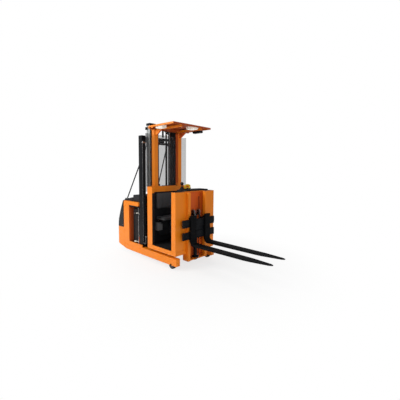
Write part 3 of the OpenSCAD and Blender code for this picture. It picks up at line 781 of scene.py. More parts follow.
def mast_fittings():
    p = Piece("mast_hose", "inner_mast", RUBBER, "black_plastic")
    for y in (0.050, 0.066):
        p.tube([(-0.862, y, 0.882), (-0.862, y, 1.3), (-0.862, y, 1.8), (-0.862, y, 2.305)], 0.0062, 12, 8)
    o = p.done()
    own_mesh(o)
    p = Piece("mast_hose_head", "inner_mast", [PLASTIC, STEEL, RUBBER], "black_plastic")
    p.box((-0.885, -0.851), (0.038, 0.078), (2.306, 2.334), 0.004)
    p.box((-0.876, -0.863), (0.045, 0.071), (2.332, 2.3735), 0.002)
    p.mi = 2
    for y in (0.050, 0.066):
        p.tube([(-0.884, y, 2.322), (-0.898, y, 2.325), (-0.905, y, 2.338), (-0.905, y, 2.3735)], 0.0062, 10, 5)
    p.mi = 1
    for y in (0.050, 0.066):
        p.rod((-0.862, y, 2.297), (-0.862, y, 2.310), 0.0085, 6)
    for s in (-1, 1):
        for y in (0.205, 0.245, 0.29):
            p.bolt((-0.91, s * y, 2.428), (0, 0, 1), 0.008, 0.006)
        p.bolt((-0.905, s * 0.1, 2.402), (0, 0, 1), 0.011, 0.009)
    p.done()
    p = Piece("mast_hose_foot", "cab", [PLASTIC, STEEL], "black_plastic")
    p.box((-0.876, -0.752), (0.040, 0.076), (0.862, 0.880), 0.003)
    p.mi = 1
    p.screw((-0.79, 0.058, 0.880), (0, 0, 1), 0.006)
    p.done()
    # rollers' hubs and the wear strips of the rails
    p = Piece("inner_mast_hubs", "inner_mast", STEEL, "chain_steel")
    for s in (-1, 1):
        for z in (0.25, 0.55):
            p.lathe([(0, 0), (0.012, 0), (0.012, 0.002), (0.008, 0.003), (0, 0.003)], (-0.985, s * 0.410, z), (0, s, 0), 24)
        for z in (0.23, 0.55):
            for y in (0.22, 0.255):
                p.bolt((-1.005, s * y, z), (-1, 0, 0), 0.0065, 0.005)
    p.done()
    p = Piece("mast_guide_pads", "chassis", PLASTIC, "black_plastic")
    for s in (-1, 1):
        p.box((-0.998, -0.938), yy(s, 0.3063, 0.3108), (2.084, 2.146), 0.0015)
        # caps on the rails
        p.box((-1.033, -0.937), yy(s, 0.3515, 0.4285), (2.2052, 2.2092), 0.0018)
        # gland of the lift cylinder
        p.lathe([(0.0125, 0), (0.0195, 0), (0.0200, 0.001), (0.0200, 0.012), (0.0175, 0.016), (0.0125, 0.016)],
                (-0.905, s * 0.1, 2.108), (0, 0, 1), 32, closed=True)
    p.done()
    p = Piece("cylinder_pipe", "chassis", [BLACK, STEEL], "mast_black")
    for s in (-1, 1):
        p.mi = 0
        p.tube([(-0.921, s * 0.1, 0.18), (-0.929, s * 0.1, 0.19), (-0.930, s * 0.1, 0.22), (-0.930, s * 0.1, 0.9),
                (-0.930, s * 0.1, 1.6), (-0.930, s * 0.1, 2.02), (-0.929, s * 0.1, 2.05), (-0.921, s * 0.1, 2.06)], 0.0045, 10, 6)
        p.mi = 1
        for z in (0.5, 0.95, 1.4, 1.85):
            p.lathe([(0.0178, 0), (0.0192, 0.0005), (0.0192, 0.0115), (0.0178, 0.012)], (-0.905, s * 0.1, z), (0, 0, 1), 28,
                    closed=True)
            p.box((-0.9365, -0.9225), (s * 0.1 - 0.006, s * 0.1 + 0.006), (z, z + 0.012), 0.0015)
    p.done()


mast_fittings()


def energy_chain():
    """Links of the carrier: two side plates with a crossbar, along a straight run and the bend at its foot."""
    p = Piece("energy_chain_links", "chassis", [LINK, STEEL], "black_plastic")
    path = []
    z = 2.095
    while z > 0.30:
        path.append(((-0.925, z), (0, -1)))
        z -= 0.030
    for k in range(1, 5):
        a = 180 + k * 36
        path.append(((-0.885 + 0.040 * math.cos(R(a)), 0.300 + 0.040 * math.sin(R(a))), (-math.sin(R(a)), math.cos(R(a)))))
    for z in (0.302, 0.332, 0.362, 0.390):
        path.append(((-0.845, z), (0, 1)))
    for i, ((x, z), (dx, dz)) in enumerate(path):
        d = Vector((dx, 0, dz)).normalized()
        u = Vector((0, 1, 0)).cross(d)
        c = Vector((x, 0, z))
        for ys, inn in ((-0.4235, 1), (-0.3665, -1)):
            o = 0.0016 if i % 2 else -0.0004
            y0, y1 = ys - 0.0015 + inn * o, ys + 0.0015 + inn * o
            t = bmesh.new()
            ring = []
            L, h = 0.011, 0.0092
            for sgn in (1, -1):
                for q in range(5):
                    ang = R(-90 + q * 45) if sgn > 0 else R(90 + q * 45)
                    ring.append(c + d * (sgn * L + math.cos(ang) * h * 0.75) + u * math.sin(ang) * h)
            va = [t.verts.new(r + Vector((0, y0, 0))) for r in ring]
            vb = [t.verts.new(r + Vector((0, y1, 0))) for r in ring]
            t.faces.new(va)
            t.faces.new(vb[::-1])
            for q in range(len(ring)):
                w = (q + 1) % len(ring)
                t.faces.new((va[q], vb[q], vb[w], va[w]))
            p.add(t)
            p.mi = 1
            p.lathe([(0, 0), (0.0048, 0), (0.0048, 0.0008), (0.0034, 0.0013), (0, 0.0013)],
                    c + d * 0.0135 + Vector((0, y0 if inn > 0 else y1, 0)), (0, -inn, 0), 10)
            p.mi = 0
        for uu in (-0.0078, 0.0078):
            t = bmesh.new()
            bmesh.ops.create_cube(t, size=1)
            for v in t.verts:
                q = v.co.copy()
                v.co = c + d * (q.x * 0.011) + Vector((0, -0.395 + q.y * 0.056, 0)) + u * (uu + q.z * 0.0028)
            bmesh.ops.bevel(t, geom=t.edges[:], offset=0.0008, offset_type="OFFSET", segments=1, profile=0.5,
                            affect="EDGES", clamp_overlap=True)
            p.add(t)
    p.mi = 1
    # end brackets
    p.box((-0.935, -0.912), (-0.426, -0.364), (2.070, 2.100), 0.002)
    p.box((-0.856, -0.834), (-0.426, -0.364), (0.388, 0.400), 0.002)
    o = p.done()
    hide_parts("energy_chain")
    q = Piece("energy_chain_cables", "chassis", RUBBER, "black_plastic")
    for y, r in ((-0.410, 0.005), (-0.396, 0.0055), (-0.381, 0.0045)):
        q.tube([(-0.925, y, 2.09), (-0.925, y, 1.4), (-0.925, y, 0.7), (-0.925, y, 0.30)]
               + [(-0.885 + 0.040 * math.cos(R(a)), y, 0.30 + 0.040 * math.sin(R(a))) for a in range(200, 360, 20)]
               + [(-0.845, y, 0.30), (-0.845, y, 0.385)], r, 8, 3)
    q.done()


energy_chain()


# ---------------------------------------------------------------- cab
def cab_details():
    p = Piece("floor_mat", "cab", RUBBER, "black_plastic")
    p.box((-0.735, -0.108), (-0.440, 0.440), (0.2955, 0.2995), 0.0015)
    y = -0.430
    while y < 0.431:
        p.box((-0.728, -0.115), (y - 0.0045, y + 0.0045), (0.2990, 0.3022), 0.0011)
        y += 0.0215
    p.done()
    # lining of the front wall and of the corner columns
    p = Piece("front_lining", "cab", [LINING_AND_SHADE, STEEL], "cab_lining")
    p.box((-0.1055, -0.0985), (-0.4480, 0.4480), (0.303, 1.146), 0.002)
    for ya, yb in ((-0.425, -0.155), (-0.135, 0.135), (0.155, 0.425)):
        p.box((-0.1090, -0.1045), (ya, yb), (0.335, 1.110), 0.0022, 3)
    p.mi = 1
    for ya in (-0.436, -0.145, 0.145, 0.436):
        for z in (0.33, 0.60, 0.87, 1.12):
            p.screw((-0.1055, ya, z), (-1, 0, 0), 0.0045)
    p.done()
    # top edge of the front wall: dark cap behind the orange lip
    p = Piece("front_cap", "cab", PLASTIC, "black_plastic")
    for s in (-1, 1):
        p.box((-0.094, -0.010), yy(s, 0.236, 0.442), (1.2445, 1.2482), 0.0016)
    p.done()
    # rear wall: pressed ribs, box, conduit, back of the seat
    p = Piece("rear_wall_fittings", "cab", [LINING_AND_SHADE, GREYB, STEEL, RUBBER], "cab_lining")
    for y in (-0.345, 0.345):
        p.box((-0.7385, -0.7345), (y - 0.035, y + 0.035), (0.33, 1.17), 0.002)
    p.box((-0.7385, -0.7345), (-0.27, 0.27), (0.33, 0.50), 0.002)
    p.mi = 1
    p.box((-0.738, -0.668), (-0.290, -0.180), (0.512, 0.658), 0.006, 3)
    p.box((-0.6685, -0.6655), (-0.278, -0.192), (0.524, 0.646), 0.0015)
    p.box((-0.738, -0.690), (0.05, 0.235), (0.545, 0.655), 0.005, 3)
    p.mi = 3
    p.tube([(-0.72, -0.235, 0.512), (-0.72, -0.235, 0.45), (-0.715, -0.21, 0.40), (-0.715, -0.12, 0.385), (-0.72, 0.0, 0.385),
            (-0.72, 0.12, 0.40), (-0.72, 0.14, 0.47), (-0.715, 0.14, 0.548)], 0.008, 12, 6)
    p.mi = 2
    for y, z in ((-0.283, 0.519), (-0.187, 0.519), (-0.283, 0.651), (-0.187, 0.651)):
        p.screw((-0.668, y, z), (1, 0, 0), 0.004)
    for y in (-0.39, 0.39):
        for z in (0.34, 0.62, 0.90, 1.17):
            p.bolt((-0.738, y, z), (1, 0, 0), 0.006, 0.005)
    p.done()
    # seat pan, its hinge and stay
    p = Piece("seat_frame", "cab", [PLASTIC, STEEL], "black_plastic")
    p.box((-0.735, -0.500), (-0.268, 0.268), (0.700, 0.7165), 0.004)
    p.box((-0.738, -0.722), (-0.272, 0.272), (0.885, 0.905), 0.003)
    for s in (-1, 1):
        p.prism([(-0.736, 0.700), (-0.54, 0.700), (-0.54, 0.690), (-0.736, 0.585)], "y", s * 0.205, s * 0.212, 0.0015)
        p.box((-0.738, -0.731), yy(s, 0.17, 0.25), (0.575, 0.712), 0.002)
    p.mi = 1
    p.rod((-0.726, -0.262, 0.7085), (-0.726, 0.262, 0.7085), 0.0085, 20)
    for s in (-1, 1):
        for z in (0.60, 0.68):
            p.bolt((-0.731, s * 0.232, z), (1, 0, 0), 0.006, 0.005)
    p.done()
    # bolts of the posts, pillars and walls
    p = Piece("cab_bolts", "cab", ORANGE, "orange")
    for s in (-1, 1):
        for x in (-0.772, -0.737):
            for y in (0.252, 0.302):
                pass
        for z in (1.23, 1.285):
            p.bolt((-0.712, s * 0.277, z), (1, 0, 0), 0.0085, 0.006)
        for z in (0.40, 0.80, 1.20):
            p.screw((-0.62, s * 0.452, z), (0, s, 0), 0.0055)
        for x in (-0.70, -0.40, -0.05):
            p.screw((x, s * 0.452, 0.262), (0, s, 0), 0.0055)
        for z in (0.42, 0.78, 1.14):
            p.screw((-0.050, s * 0.452, z), (0, s, 0), 0.0055)
        for z in (1.42, 1.80, 2.14):
            p.bolt((-0.797, s * 0.277, z), (-1, 0, 0), 0.007, 0.005)
        p.bolt((-0.66, s * 0.292, 2.269), (0, s, 0), 0.007, 0.005)
        p.bolt((-0.62, s * 0.292, 2.286), (0, s, 0), 0.007, 0.005)
    p.done()
    p = Piece("post_feet", "cab", ORANGE, "orange")
    for s in (-1, 1):
        p.box((-0.794, -0.712), yy(s, 0.226, 0.328), (1.3095, 1.3185), 0.0025)
        p.box((-0.794, -0.712), yy(s, 0.2455, 0.328), (2.2955, 2.3045), 0.0025)
        for y0, y1 in ((0.228, 0.235), (0.319, 0.326)):
            p.prism([(-0.785, 1.318), (-0.725, 1.318), (-0.745, 1.36), (-0.765, 1.36)], "y", s * y0, s * y1, 0.001)
    p.done()
    # flanges of the front recess and folded lip of the wall
    p = Piece("front_wall_lips", "cab", ORANGE, "orange")
    for s in (-1, 1):
        p.box((-0.004, 0.0022), yy(s, 0.4385, 0.4510), (0.235, 1.240), 0.0020)
        p.box((-0.102, 0.0022), yy(s, 0.2250, 0.4515), (1.2385, 1.2462), 0.0022)
    p.box((-0.102, -0.0735), (-0.2255, 0.2255), (1.2385, 1.2462), 0.0022)
    p.done()


cab_details()


def controls():
    p = Piece("control_levers", "cab", [PLASTIC, YELLOW, STEEL, RED, GREYB, LENS], "black_plastic")
    # joystick with bellows
    c = (-0.205, -0.128)
    prof = [(0.050, 0)]
    for k in range(7):
        r = 0.047 - k * 0.0053
        prof += [(r + 0.002, 0.004 + k * 0.0075), (r - 0.002, 0.0075 + k * 0.0075)]
    prof += [(0.0105, 0.058), (0.0100, 0.066), (0.0105, 0.078), (0.016, 0.082), (0.024, 0.088), (0.0285, 0.099),
             (0.0280, 0.112), (0.0220, 0.122), (0.0120, 0.1275), (0, 0.1290)]
    p.lathe(prof, (c[0], c[1], 1.268), (0, 0, 1), 40)
    p.lathe([(0, 0), (0.008, 0), (0.008, 0.0015), (0, 0.003)], (c[0], c[1], 1.3965), (0, 0, 1), 16)
    # yellow grip on its base
    p.mi = 0
    p.lathe([(0.046, 0), (0.046, 0.005), (0.040, 0.011), (0.026, 0.013), (0.022, 0.024), (0.020, 0.030), (0, 0.030)],
            (-0.20, -0.011, 1.268), (0, 0, 1), 40)
    p.mi = 1
    p.tube([(-0.200, -0.066, 1.300), (-0.196, -0.070, 1.322), (-0.196, -0.054, 1.342), (-0.198, -0.011, 1.350), (-0.196, 0.032, 1.342),
            (-0.196, 0.048, 1.322), (-0.200, 0.044, 1.300)], 0.0115, 16, 8,
           rib=lambda i, n: 0.0112 + 0.0016 * math.sin(math.pi * i / n))
    p.box((-0.213, -0.187), (-0.073, 0.051), (1.288, 1.303), 0.006, 3)
    # display with a hood, buttons, stop knob
    p.mi = 0
    p.box((-0.255, -0.125), (0.150, 0.345), (1.2655, 1.2745), 0.004, 3)
    p.mi = 4
    p.box((-0.246, -0.160), (0.162, 0.333), (1.2735, 1.2760), 0.0015)
    p.mi = 0
    for i in range(3):
        for j in range(2):
            p.box((-0.290 + j * 0.0, -0.270), (0.170 + i * 0.055, 0.205 + i * 0.055), (1.266, 1.2725), 0.002)
    for i in range(4):
        p.box((-0.150, -0.128), (-0.060 + i * 0.040, -0.034 + i * 0.040), (1.267, 1.2745), 0.003)
    p.lathe([(0.012, 0), (0.012, 0.010), (0.019, 0.013), (0.0205, 0.017), (0.0185, 0.024), (0.010, 0.028), (0, 0.0285)],
            (-0.245, 0.095, 1.268), (0, 0, 1), 32)
    p.mi = 2
    for y in (-0.138, 0.396):
        for x in (-0.285, -0.115):
            p.screw((x, y, 1.268), (0, 0, 1), 0.004)
    o = p.done()
    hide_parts("controls")
    p = Piece("beam_knob", "cab", [PLASTIC, STEEL], "black_plastic")
    p.lathe([(0, 0), (0.020, 0), (0.021, 0.003), (0.016, 0.008), (0.010, 0.012), (0.009, 0.020), (0.0145, 0.027),
             (0.0150, 0.034), (0.0105, 0.041), (0, 0.043)], (-0.735, -0.20, 1.310), (0, 0, 1), 32)
    p.lathe([(0, 0), (0.017, 0), (0.018, 0.002), (0.014, 0.008), (0, 0.009)], (-0.735, 0.20, 1.310), (0, 0, 1), 28)
    p.box((-0.770, -0.725), (-0.12, 0.12), (1.3095, 1.3165), 0.003)
    p.done()


controls()


def cushion(name, lo, hi, nodes, face, crown, r=0.022, seams=()):
    """A padded box: rounded edges, crowned towards face (+x or +z), a groove along each seam."""
    lo, hi = Vector(lo), Vector(hi)
    size = hi - lo
    n = [max(6, int(size[i] / 0.0125)) for i in range(3)]
    t = bmesh.new()
    grid = {}
    def vert(i, j, k):
        key = (i, j, k)
        if key not in grid:
            grid[key] = t.verts.new(Vector((i / n[0], j / n[1], k / n[2])))
        return grid[key]
    for a in range(3):
        b, c = (a + 1) % 3, (a + 2) % 3
        for side in (0, n[a]):
            for i in range(n[b]):
                for j in range(n[c]):
                    def idx(u, w):
                        q = [0, 0, 0]
                        q[a], q[b], q[c] = side, u, w
                        return tuple(q)
                    t.faces.new([vert(*idx(i, j)), vert(*idx(i + 1, j)), vert(*idx(i + 1, j + 1)), vert(*idx(i, j + 1))])
    f = {"x": 0, "z": 2}[face]
    for v in t.verts:
        q = v.co.copy()
        p = Vector([lo[i] + q[i] * size[i] for i in range(3)])
        # round the edges
        core = Vector([min(max(p[i], lo[i] + r), hi[i] - r) for i in range(3)])
        d = p - core
        m = max(abs(d.x), abs(d.y), abs(d.z))
        if d.length > 1e-9:
            p = core + d * (m / d.length)
        a, b = [i for i in range(3) if i != f]
        u, w = 2 * q[a] - 1, 2 * q[b] - 1
        dome = (1 - u ** 4) * (1 - w ** 4)
        up = q[f]
        p[f] += (crown * dome - crown) * up
        # panels sink along the seams
        for ax, at in seams:
            g = math.exp(-((p[ax] - at) / 0.0045) ** 2)
            edge = math.exp(-((p[ax] - at) / 0.020) ** 2)
            p[f] -= (0.0042 * g + 0.0026 * edge) * (1 if up > 0.5 else 0)
        s = noise.noise(Vector((p.x, p.y, p.z)) * 21) * 0.0008 + noise.noise(Vector((p.x, p.y, p.z)) * 60) * 0.0003
        p[f] += s * (1 if up > 0.9 else 0)
        v.co = p
    pc = Piece(name, "cab", [PAD, PLASTIC], "pad_grey", angle=60)
    pc.add(t)
    # piping round the edge
    a, b = [i for i in range(3) if i != f]
    ring = []
    e = 0.0065
    R1 = 0.020
    lo2, hi2 = (lo[a] + e, lo[b] + e), (hi[a] - e, hi[b] - e)
    for cx, cy, a0 in ((hi2[0] - R1, hi2[1] - R1, 0), (lo2[0] + R1, hi2[1] - R1, 90), (lo2[0] + R1, lo2[1] + R1, 180),
                       (hi2[0] - R1, lo2[1] + R1, 270)):
        for k in range(7):
            q = [0, 0, 0]
            q[a], q[b] = cx + R1 * math.cos(R(a0 + k * 15)), cy + R1 * math.sin(R(a0 + k * 15))
            q[f] = hi[f] - crown - 0.0075
            ring.append(tuple(q))
    ring.append(ring[0])
    pc.mi = 1
    pc.tube(ring, 0.0030, 8, 2)
    # stitches along the seams
    for ax, at in seams:
        o = b if ax == a else a
        q0 = lo[o] + 0.03
        while q0 < hi[o] - 0.03:
            for off in (-0.0085, 0.0085):
                c = [0, 0, 0]
                c[ax], c[o] = at + off, q0
                u = 2 * (c[a] - lo[a]) / size[a] - 1
                w = 2 * (c[b] - lo[b]) / size[b] - 1
                c[f] = hi[f] - crown + crown * (1 - u ** 4) * (1 - w ** 4) - 0.0022
                d = [0, 0, 0]
                d[o] = 0.006
                pc.rod(Vector(c), Vector(c) + Vector(d), 0.0010, 6, 0.0002)
            q0 += 0.0125
    o = pc.done()
    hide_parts(*nodes)
    return o


cushion("seat_cushion", (-0.738, -0.280, 0.7165), (-0.490, 0.280, 0.7700), ["seat_pad"], "z", 0.009,
        seams=((1, -0.165), (1, 0.165)))
cushion("back_cushion", (-0.738, -0.280, 0.905), (-0.688, 0.280, 1.190), ["backrest_pad"], "x", 0.009,
        seams=((1, -0.165), (1, 0.165)))


# ---------------------------------------------------------------- guard
def guard():
    p = Piece("near_lamp", "cab", [WHITE, LENS, STEEL], "lamp_white")
    for x0, x1, y0, y1 in ((-0.575, -0.400, -0.397, -0.296), (-0.275, -0.115, 0.025, 0.160)):
        p.mi = 0
        p.box((x0, x1), (y0, y1), (2.305, 2.3445), 0.007, 3)
        p.box((x0 + 0.002, x1 - 0.002), (y0 + 0.002, y1 - 0.002), (2.298, 2.309), 0.003)
        p.mi = 1
        p.box((x0 + 0.012, x1 - 0.012), (y0 + 0.012, y1 - 0.012), (2.2915, 2.3000), 0.0040, 3)
        n = int((x1 - x0 - 0.04) / 0.012)
        for k in range(n):
            x = x0 + 0.022 + k * 0.012
            p.box((x, x + 0.004), (y0 + 0.018, y1 - 0.018), (2.2902, 2.2922), 0.0007, 1)
        p.mi = 2
        for x in (x0 + 0.0065, x1 - 0.0065):
            for y in (y0 + 0.0065, y1 - 0.0065):
                p.screw((x, y, 2.298), (0, 0, -1), 0.003)
    o = p.done()
    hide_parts("roof_lamps")
    p = Piece("roof_box", "cab", [PLASTIC, STEEL, RUBBER], "black_plastic")
    p.box((-0.335, -0.140), (0.240, 0.305), (2.257, 2.2900), 0.005, 3)
    p.box((-0.327, -0.148), (0.246, 0.299), (2.2530, 2.2590), 0.0025)
    p.box((-0.320, -0.155), (0.2455, 0.256), (2.2885, 2.3200), 0.002)
    p.mi = 2
    p.tube([(-0.335, 0.262, 2.274), (-0.348, 0.262, 2.276), (-0.356, 0.262, 2.288), (-0.356, 0.258, 2.31), (-0.356, 0.252, 2.340)],
           0.0042, 10, 5)
    p.tube([(-0.575, -0.33, 2.336), (-0.60, -0.30, 2.3405), (-0.66, -0.255, 2.3408), (-0.70, -0.2, 2.3408)], 0.0030, 8, 5)
    p.tube([(-0.275, 0.11, 2.336), (-0.33, 0.150, 2.3405), (-0.5, 0.165, 2.3408), (-0.70, 0.185, 2.3408)], 0.0030, 8, 5)
    p.mi = 1
    for x in (-0.320, -0.155):
        for y in (0.252, 0.293):
            p.screw((x, y, 2.2530), (0, 0, -1), 0.003)
    p.done()
    p = Piece("roof_bolts", "cab", STEEL, "chain_steel")
    for s in (-1, 1):
        for x in (-0.764, -0.639):
            for y in (0.222, 0.36):
                p.bolt((x, s * y, 2.3495), (0, 0, 1), 0.008, 0.0045)
        for x in (-0.70, -0.40, -0.11):
            p.bolt((x, s * 0.2225, 2.2900), (0, 0, -1), 0.006, 0.004)
    p.done()
    # pressed beads in the top sheet
    p = Piece("roof_beads", "cab", ORANGE, "orange")
    for y in (-0.30, -0.15, 0.0, 0.15, 0.30):
        p.box((-0.69, -0.13), (y - 0.016, y + 0.016), (2.3485, 2.3530), 0.0021, 3)
    p.done()
    # clamps of the clear sheet
    p = Piece("screen_clamps", "cab", [BLACK, STEEL], "mast_black")
    for s in (-1, 1):
        for z in (1.42, 1.80, 2.14):
            p.mi = 0
            p.box((-0.8005, -0.7965), yy(s, 0.255, 0.299), (z - 0.02, z + 0.02), 0.0015)
            p.mi = 1
            p.bolt((-0.8005, s * 0.277, z), (-1, 0, 0), 0.007, 0.005)
    p.done()


guard()


# ---------------------------------------------------------------- forks
def fork_end():
    # sheaves of the crosshead, chain strands
    p = Piece("crosshead_sheaves", "crosshead", [STEEL, BLACK], "chain_steel")
    for s in (-1, 1):
        y = s * 0.060
        c = (-0.005, y, 0.905)
        for k in (-1, 1):
            h = k * 0.0096
            p.lathe([(0.0275, h), (0.0400, h), (0.0430, h + k * 0.0014), (0.0430, h + k * 0.0034), (0.0395, h + k * 0.0042),
                     (0.0290, h + k * 0.0030), (0.0275, h + k * 0.0014)], c, (0, 1, 0), 48, closed=True)
            p.lathe([(0.0090, h), (0.0160, h), (0.0160, h + k * 0.0018), (0.0130, h + k * 0.0030), (0.0090, h + k * 0.0030)],
                    c, (0, 1, 0), 32, closed=True)
        leaf_chain(p, arc(-0.005, 0.905, 0.0400, 0, 180, 8), y, 0.0075, h=0.0055, plates=4)
        leaf_chain(p, [(0.035, 0.905 - k * 0.01583) for k in range(19)], y, 0.0075, h=0.0052, plates=4)
        leaf_chain(p, [(-0.045, 0.905 - k * 0.0155) for k in range(11)], y, 0.0075, h=0.0048, plates=4)
        for yk in (-0.0205, 0.0205):
            p.lathe([(0, 0), (0.011, 0), (0.011, 0.003), (0.008, 0.0045), (0, 0.0045)],
                    (-0.005, y + yk, 0.905), (0, 1 if yk > 0 else -1, 0), 22)
    p.done()
    p = Piece("fork_cylinder_fittings", "cab", [BLACK, STEEL, RUBBER], "mast_black")
    p.lathe([(0.0186, 0), (0.0315, 0), (0.0325, 0.002), (0.0325, 0.016), (0.028, 0.022), (0.0186, 0.022)],
            (-0.005, 0, 0.655), (0, 0, 1), 36, closed=True)
    p.lathe([(0.030, 0), (0.034, 0.001), (0.034, 0.020), (0.030, 0.024)], (-0.005, 0, 0.128), (0, 0, 1), 36, closed=True)
    p.mi = 2
    # short hose loop at the foot
    p.tube([(0.024, 0.000, 0.165), (0.046, 0.000, 0.160), (0.060, -0.008, 0.140), (0.062, -0.030, 0.118), (0.052, -0.060, 0.110),
            (0.030, -0.085, 0.116), (0.000, -0.095, 0.135), (-0.030, -0.095, 0.150), (-0.050, -0.090, 0.155)], 0.0065, 12, 6)
    p.tube([(-0.040, 0.110, 0.150), (-0.035, 0.110, 0.40), (-0.035, 0.112, 0.70), (-0.035, 0.112, 1.0), (-0.038, 0.110, 1.15)],
           0.0055, 10, 6)
    p.mi = 1
    p.rod((0.020, 0.0, 0.165), (0.032, 0.0, 0.165), 0.010, 6)
    p.rod((-0.056, -0.090, 0.155), (-0.044, -0.090, 0.155), 0.010, 6)
    for s in (-1, 1):
        for z in (0.135, 0.30, 0.405):
            p.bolt((-0.057, s * 0.140, z), (1, 0, 0), 0.0075, 0.005)
    p.mi = 0
    for s in (-1, 1):
        for z in (0.62, 0.88, 1.14):
            p.bolt((-0.076, s * 0.145, z), (1, 0, 0), 0.0065, 0.005)
    # foot block of the cylinder
    p.box((-0.048, 0.040), (-0.046, 0.046), (0.1245, 0.150), 0.004)
    p.mi = 1
    p.bolt((0.040, 0.030, 0.137), (1, 0, 0), 0.006, 0.005)
    p.done()
    # carriage: latch knobs, fork hooks, stops, roller pins
    p = Piece("carriage_fittings", "fork_carriage", [BLACK, STEEL, PLASTIC], "mast_black")
    for s in (-1, 1):
        # hooks of the fork over the upper bar and under the lower bar
        y0, y1 = s * 0.112, s * 0.218
        p.prism([(0.0925, 0.835), (0.0925, 0.801), (0.0570, 0.801), (0.0570, 0.790), (0.0500, 0.790), (0.0500, 0.818),
                 (0.0600, 0.835)], "y", min(y0, y1), max(y0, y1), 0.002)
        p.prism([(0.0925, 0.470), (0.0925, 0.4845), (0.0570, 0.4845), (0.0570, 0.496), (0.0500, 0.496), (0.0500, 0.470)],
                "y", min(y0, y1), max(y0, y1), 0.002)
        # end stops and notches
        p.box((0.064, 0.097), yy(s, 0.347, 0.3635), (0.6985, 0.804), 0.003)
        p.box((0.064, 0.097), yy(s, 0.347, 0.3635), (0.4815, 0.602), 0.003)
        for k in range(5):
            yk = 0.235 + k * 0.026
            p.box((0.0585, 0.0935), yy(s, yk, yk + 0.012), (0.7990, 0.8035), 0.001)
        for z in (0.532, 0.740):
            p.lathe([(0, 0), (0.010, 0), (0.010, 0.002), (0.008, 0.0035), (0, 0.0035)], (-0.026, s * 0.155, z), (0, -s, 0), 24)
        for z in (0.508, 0.577):
            for yk in (0.05, 0.30):
                p.bolt((0.0925, s * yk, z), (1, 0, 0), 0.0075, 0.005)
        for z in (0.705, 0.775):
            for yk in (0.05, 0.30):
                p.bolt((0.0925, s * yk, z), (1, 0, 0), 0.0075, 0.005)
        for z in (0.608, 0.672):
            p.bolt((0.0755, s * 0.09, z), (1, 0, 0), 0.007, 0.005)
        p.mi = 2
        p.lathe([(0, 0), (0.010, 0), (0.010, 0.010), (0.015, 0.014), (0.0155, 0.026), (0.012, 0.030), (0, 0.031)],
                (0.110, s * 0.165, 0.8355), (0, 0, 1), 24)
        p.mi = 0
    # plate edge behind the forks, chain eyes
    p.box((0.0745, 0.0790), (-0.150, 0.150), (0.6015, 0.6785), 0.0015)
    p.mi = 1
    for s in (-1, 1):
        p.box((0.0440, 0.0620), yy(s, 0.0490, 0.0710), (0.604, 0.624), 0.003)
        for ya in (0.0490, 0.0692):
            p.box((0.0285, 0.0450), yy(s, ya, ya + 0.0018), (0.606, 0.622), 0.0006)
    p.mi = 2
    for s in (-1, 1):
        p.lathe([(0, 0), (0.013, 0), (0.015, 0.002), (0.015, 0.006), (0.010, 0.010), (0, 0.0105)], (0.080, s * 0.3630, 0.745),
                (0, s, 0), 24)
    p.done()


fork_end()

# ---------------------------------------------------------------- camera, light, floor
cam_data = bpy.data.cameras.new("camera")
cam = bpy.data.objects.new("camera", cam_data)
scene.collection.objects.link(cam)
scene.camera = cam
yaw, pitch, roll = R(43.119), R(4.899), R(0.56)
fwd = Vector((-math.sin(yaw) * math.cos(pitch), math.cos(yaw) * math.cos(pitch), -math.sin(pitch)))
right = Vector((math.cos(yaw), math.sin(yaw), 0.0))
up = right.cross(fwd)
r2 = right * math.cos(roll) + up * math.sin(roll)
u2 = -right * math.sin(roll) + up * math.cos(roll)
m = Matrix((r2, u2, -fwd)).transposed().to_4x4()
m.translation = Vector((3.1207 + X0, -3.1263, 1.5895))
cam.matrix_world = m
cam_data.sensor_width = 36.0
cam_data.lens = 264.42 / 400 * 36.0
cam_data.shift_x = (200 - 204.316) / 400
cam_data.shift_y = (193.608 - 200) / 400


def soft(name, kind_size, energy, loc, target, col=(1, 1, 1)):
    d = bpy.data.lights.new(name, "AREA")
    d.shape = "RECTANGLE"
    d.size, d.size_y = kind_size
    d.energy = energy
    d.color = col
    o = bpy.data.objects.new(name, d)
    scene.collection.objects.link(o)
    o.location = loc
    o.rotation_mode = "QUATERNION"
    o.rotation_quaternion = (Vector(target) - Vector(loc)).to_track_quat("-Z", "Y")
    return o


soft("key", (2.6, 2.2), 238, (-2.6, -5.0, 3.4), (-0.3, -0.3, 1.0), (1.0, 0.985, 0.96))
soft("fill", (3.2, 2.6), 95, (5.6, -2.2, 2.2), (0.0, 0.0, 1.0), (1.0, 0.985, 0.96))
back = soft("back", (3.2, 2.6), 110, (-4.2, 5.0, 3.0), (-0.5, 0.0, 1.0))
back.visible_glossy = False
soft("top", (3.0, 3.0), 70, (-0.4, -0.6, 5.6), (-0.3, 0.0, 1.0))
world = bpy.data.worlds.new("world")
scene.world = world
world.use_nodes = True
bg = world.node_tree.nodes["Background"]
bg.inputs[0].default_value = (0.985, 0.99, 1.0, 1)
bg.inputs[1].default_value = 0.36
seen = world.node_tree.nodes.new("ShaderNodeBackground")
seen.inputs[0].default_value = (1, 1, 1, 1)
seen.inputs[1].default_value = 1.0
path = world.node_tree.nodes.new("ShaderNodeLightPath")
pick = world.node_tree.nodes.new("ShaderNodeMixShader")
world.node_tree.links.new(path.outputs["Is Camera Ray"], pick.inputs[0])
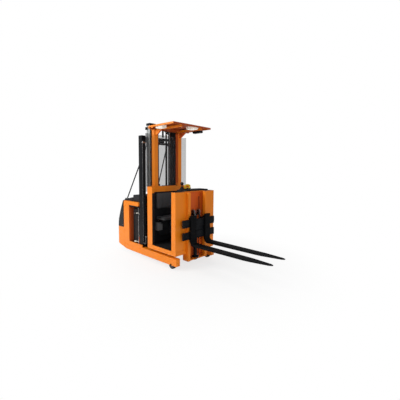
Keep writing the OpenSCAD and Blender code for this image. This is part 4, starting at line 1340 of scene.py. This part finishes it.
world.node_tree.links.new(bg.outputs[0], pick.inputs[1])
world.node_tree.links.new(seen.outputs[0], pick.inputs[2])
world.node_tree.links.new(pick.outputs[0], world.node_tree.nodes["World Output"].inputs[0])
scene.view_settings.view_transform = "Standard"
scene.view_settings.look = "None"

floor_bm = bmesh.new()
bmesh.ops.create_grid(floor_bm, x_segments=2, y_segments=2, size=40)
fme = bpy.data.meshes.new("floor")
floor_bm.to_mesh(fme)
floor_bm.free()
fl = bpy.data.objects.new("floor", fme)
scene.collection.objects.link(fl)
fmat = material("floor_white", (0.88, 0.88, 0.88), rough=0.8, vary=0.008, scale=0.6, grain=40, bump=0.02, spec=0.2)
# the studio floor brightens to plain white away from the truck
fn = fmat.node_tree
ftc, fgr, fmr = fn.nodes.new("ShaderNodeTexCoord"), fn.nodes.new("ShaderNodeVectorMath"), fn.nodes.new("ShaderNodeMapRange")
fgr.operation = "LENGTH"
fn.links.new(ftc.outputs["Object"], fgr.inputs[0])
fn.links.new(fgr.outputs["Value"], fmr.inputs[0])
fmr.interpolation_type = "SMOOTHSTEP"
fmr.inputs[1].default_value, fmr.inputs[2].default_value = 0.3, 2.6
fmr.inputs[3].default_value, fmr.inputs[4].default_value = 0.74, 1.0
flp, fml = fn.nodes.new("ShaderNodeLightPath"), fn.nodes.new("ShaderNodeMath")
fml.operation = "MULTIPLY"
fn.links.new(fmr.outputs[0], fml.inputs[0])
fn.links.new(flp.outputs["Is Camera Ray"], fml.inputs[1])
fem, fmx = fn.nodes.new("ShaderNodeEmission"), fn.nodes.new("ShaderNodeMixShader")
fem.inputs[0].default_value = (1, 1, 1, 1)
fbs = [n for n in fn.nodes if n.type == "BSDF_PRINCIPLED"][0]
fou = [n for n in fn.nodes if n.type == "OUTPUT_MATERIAL"][0]
fn.links.new(fml.outputs[0], fmx.inputs[0])
fn.links.new(fbs.outputs[0], fmx.inputs[1])
fn.links.new(fem.outputs[0], fmx.inputs[2])
fn.links.new(fmx.outputs[0], fou.inputs[0])
fme.materials.append(fmat)
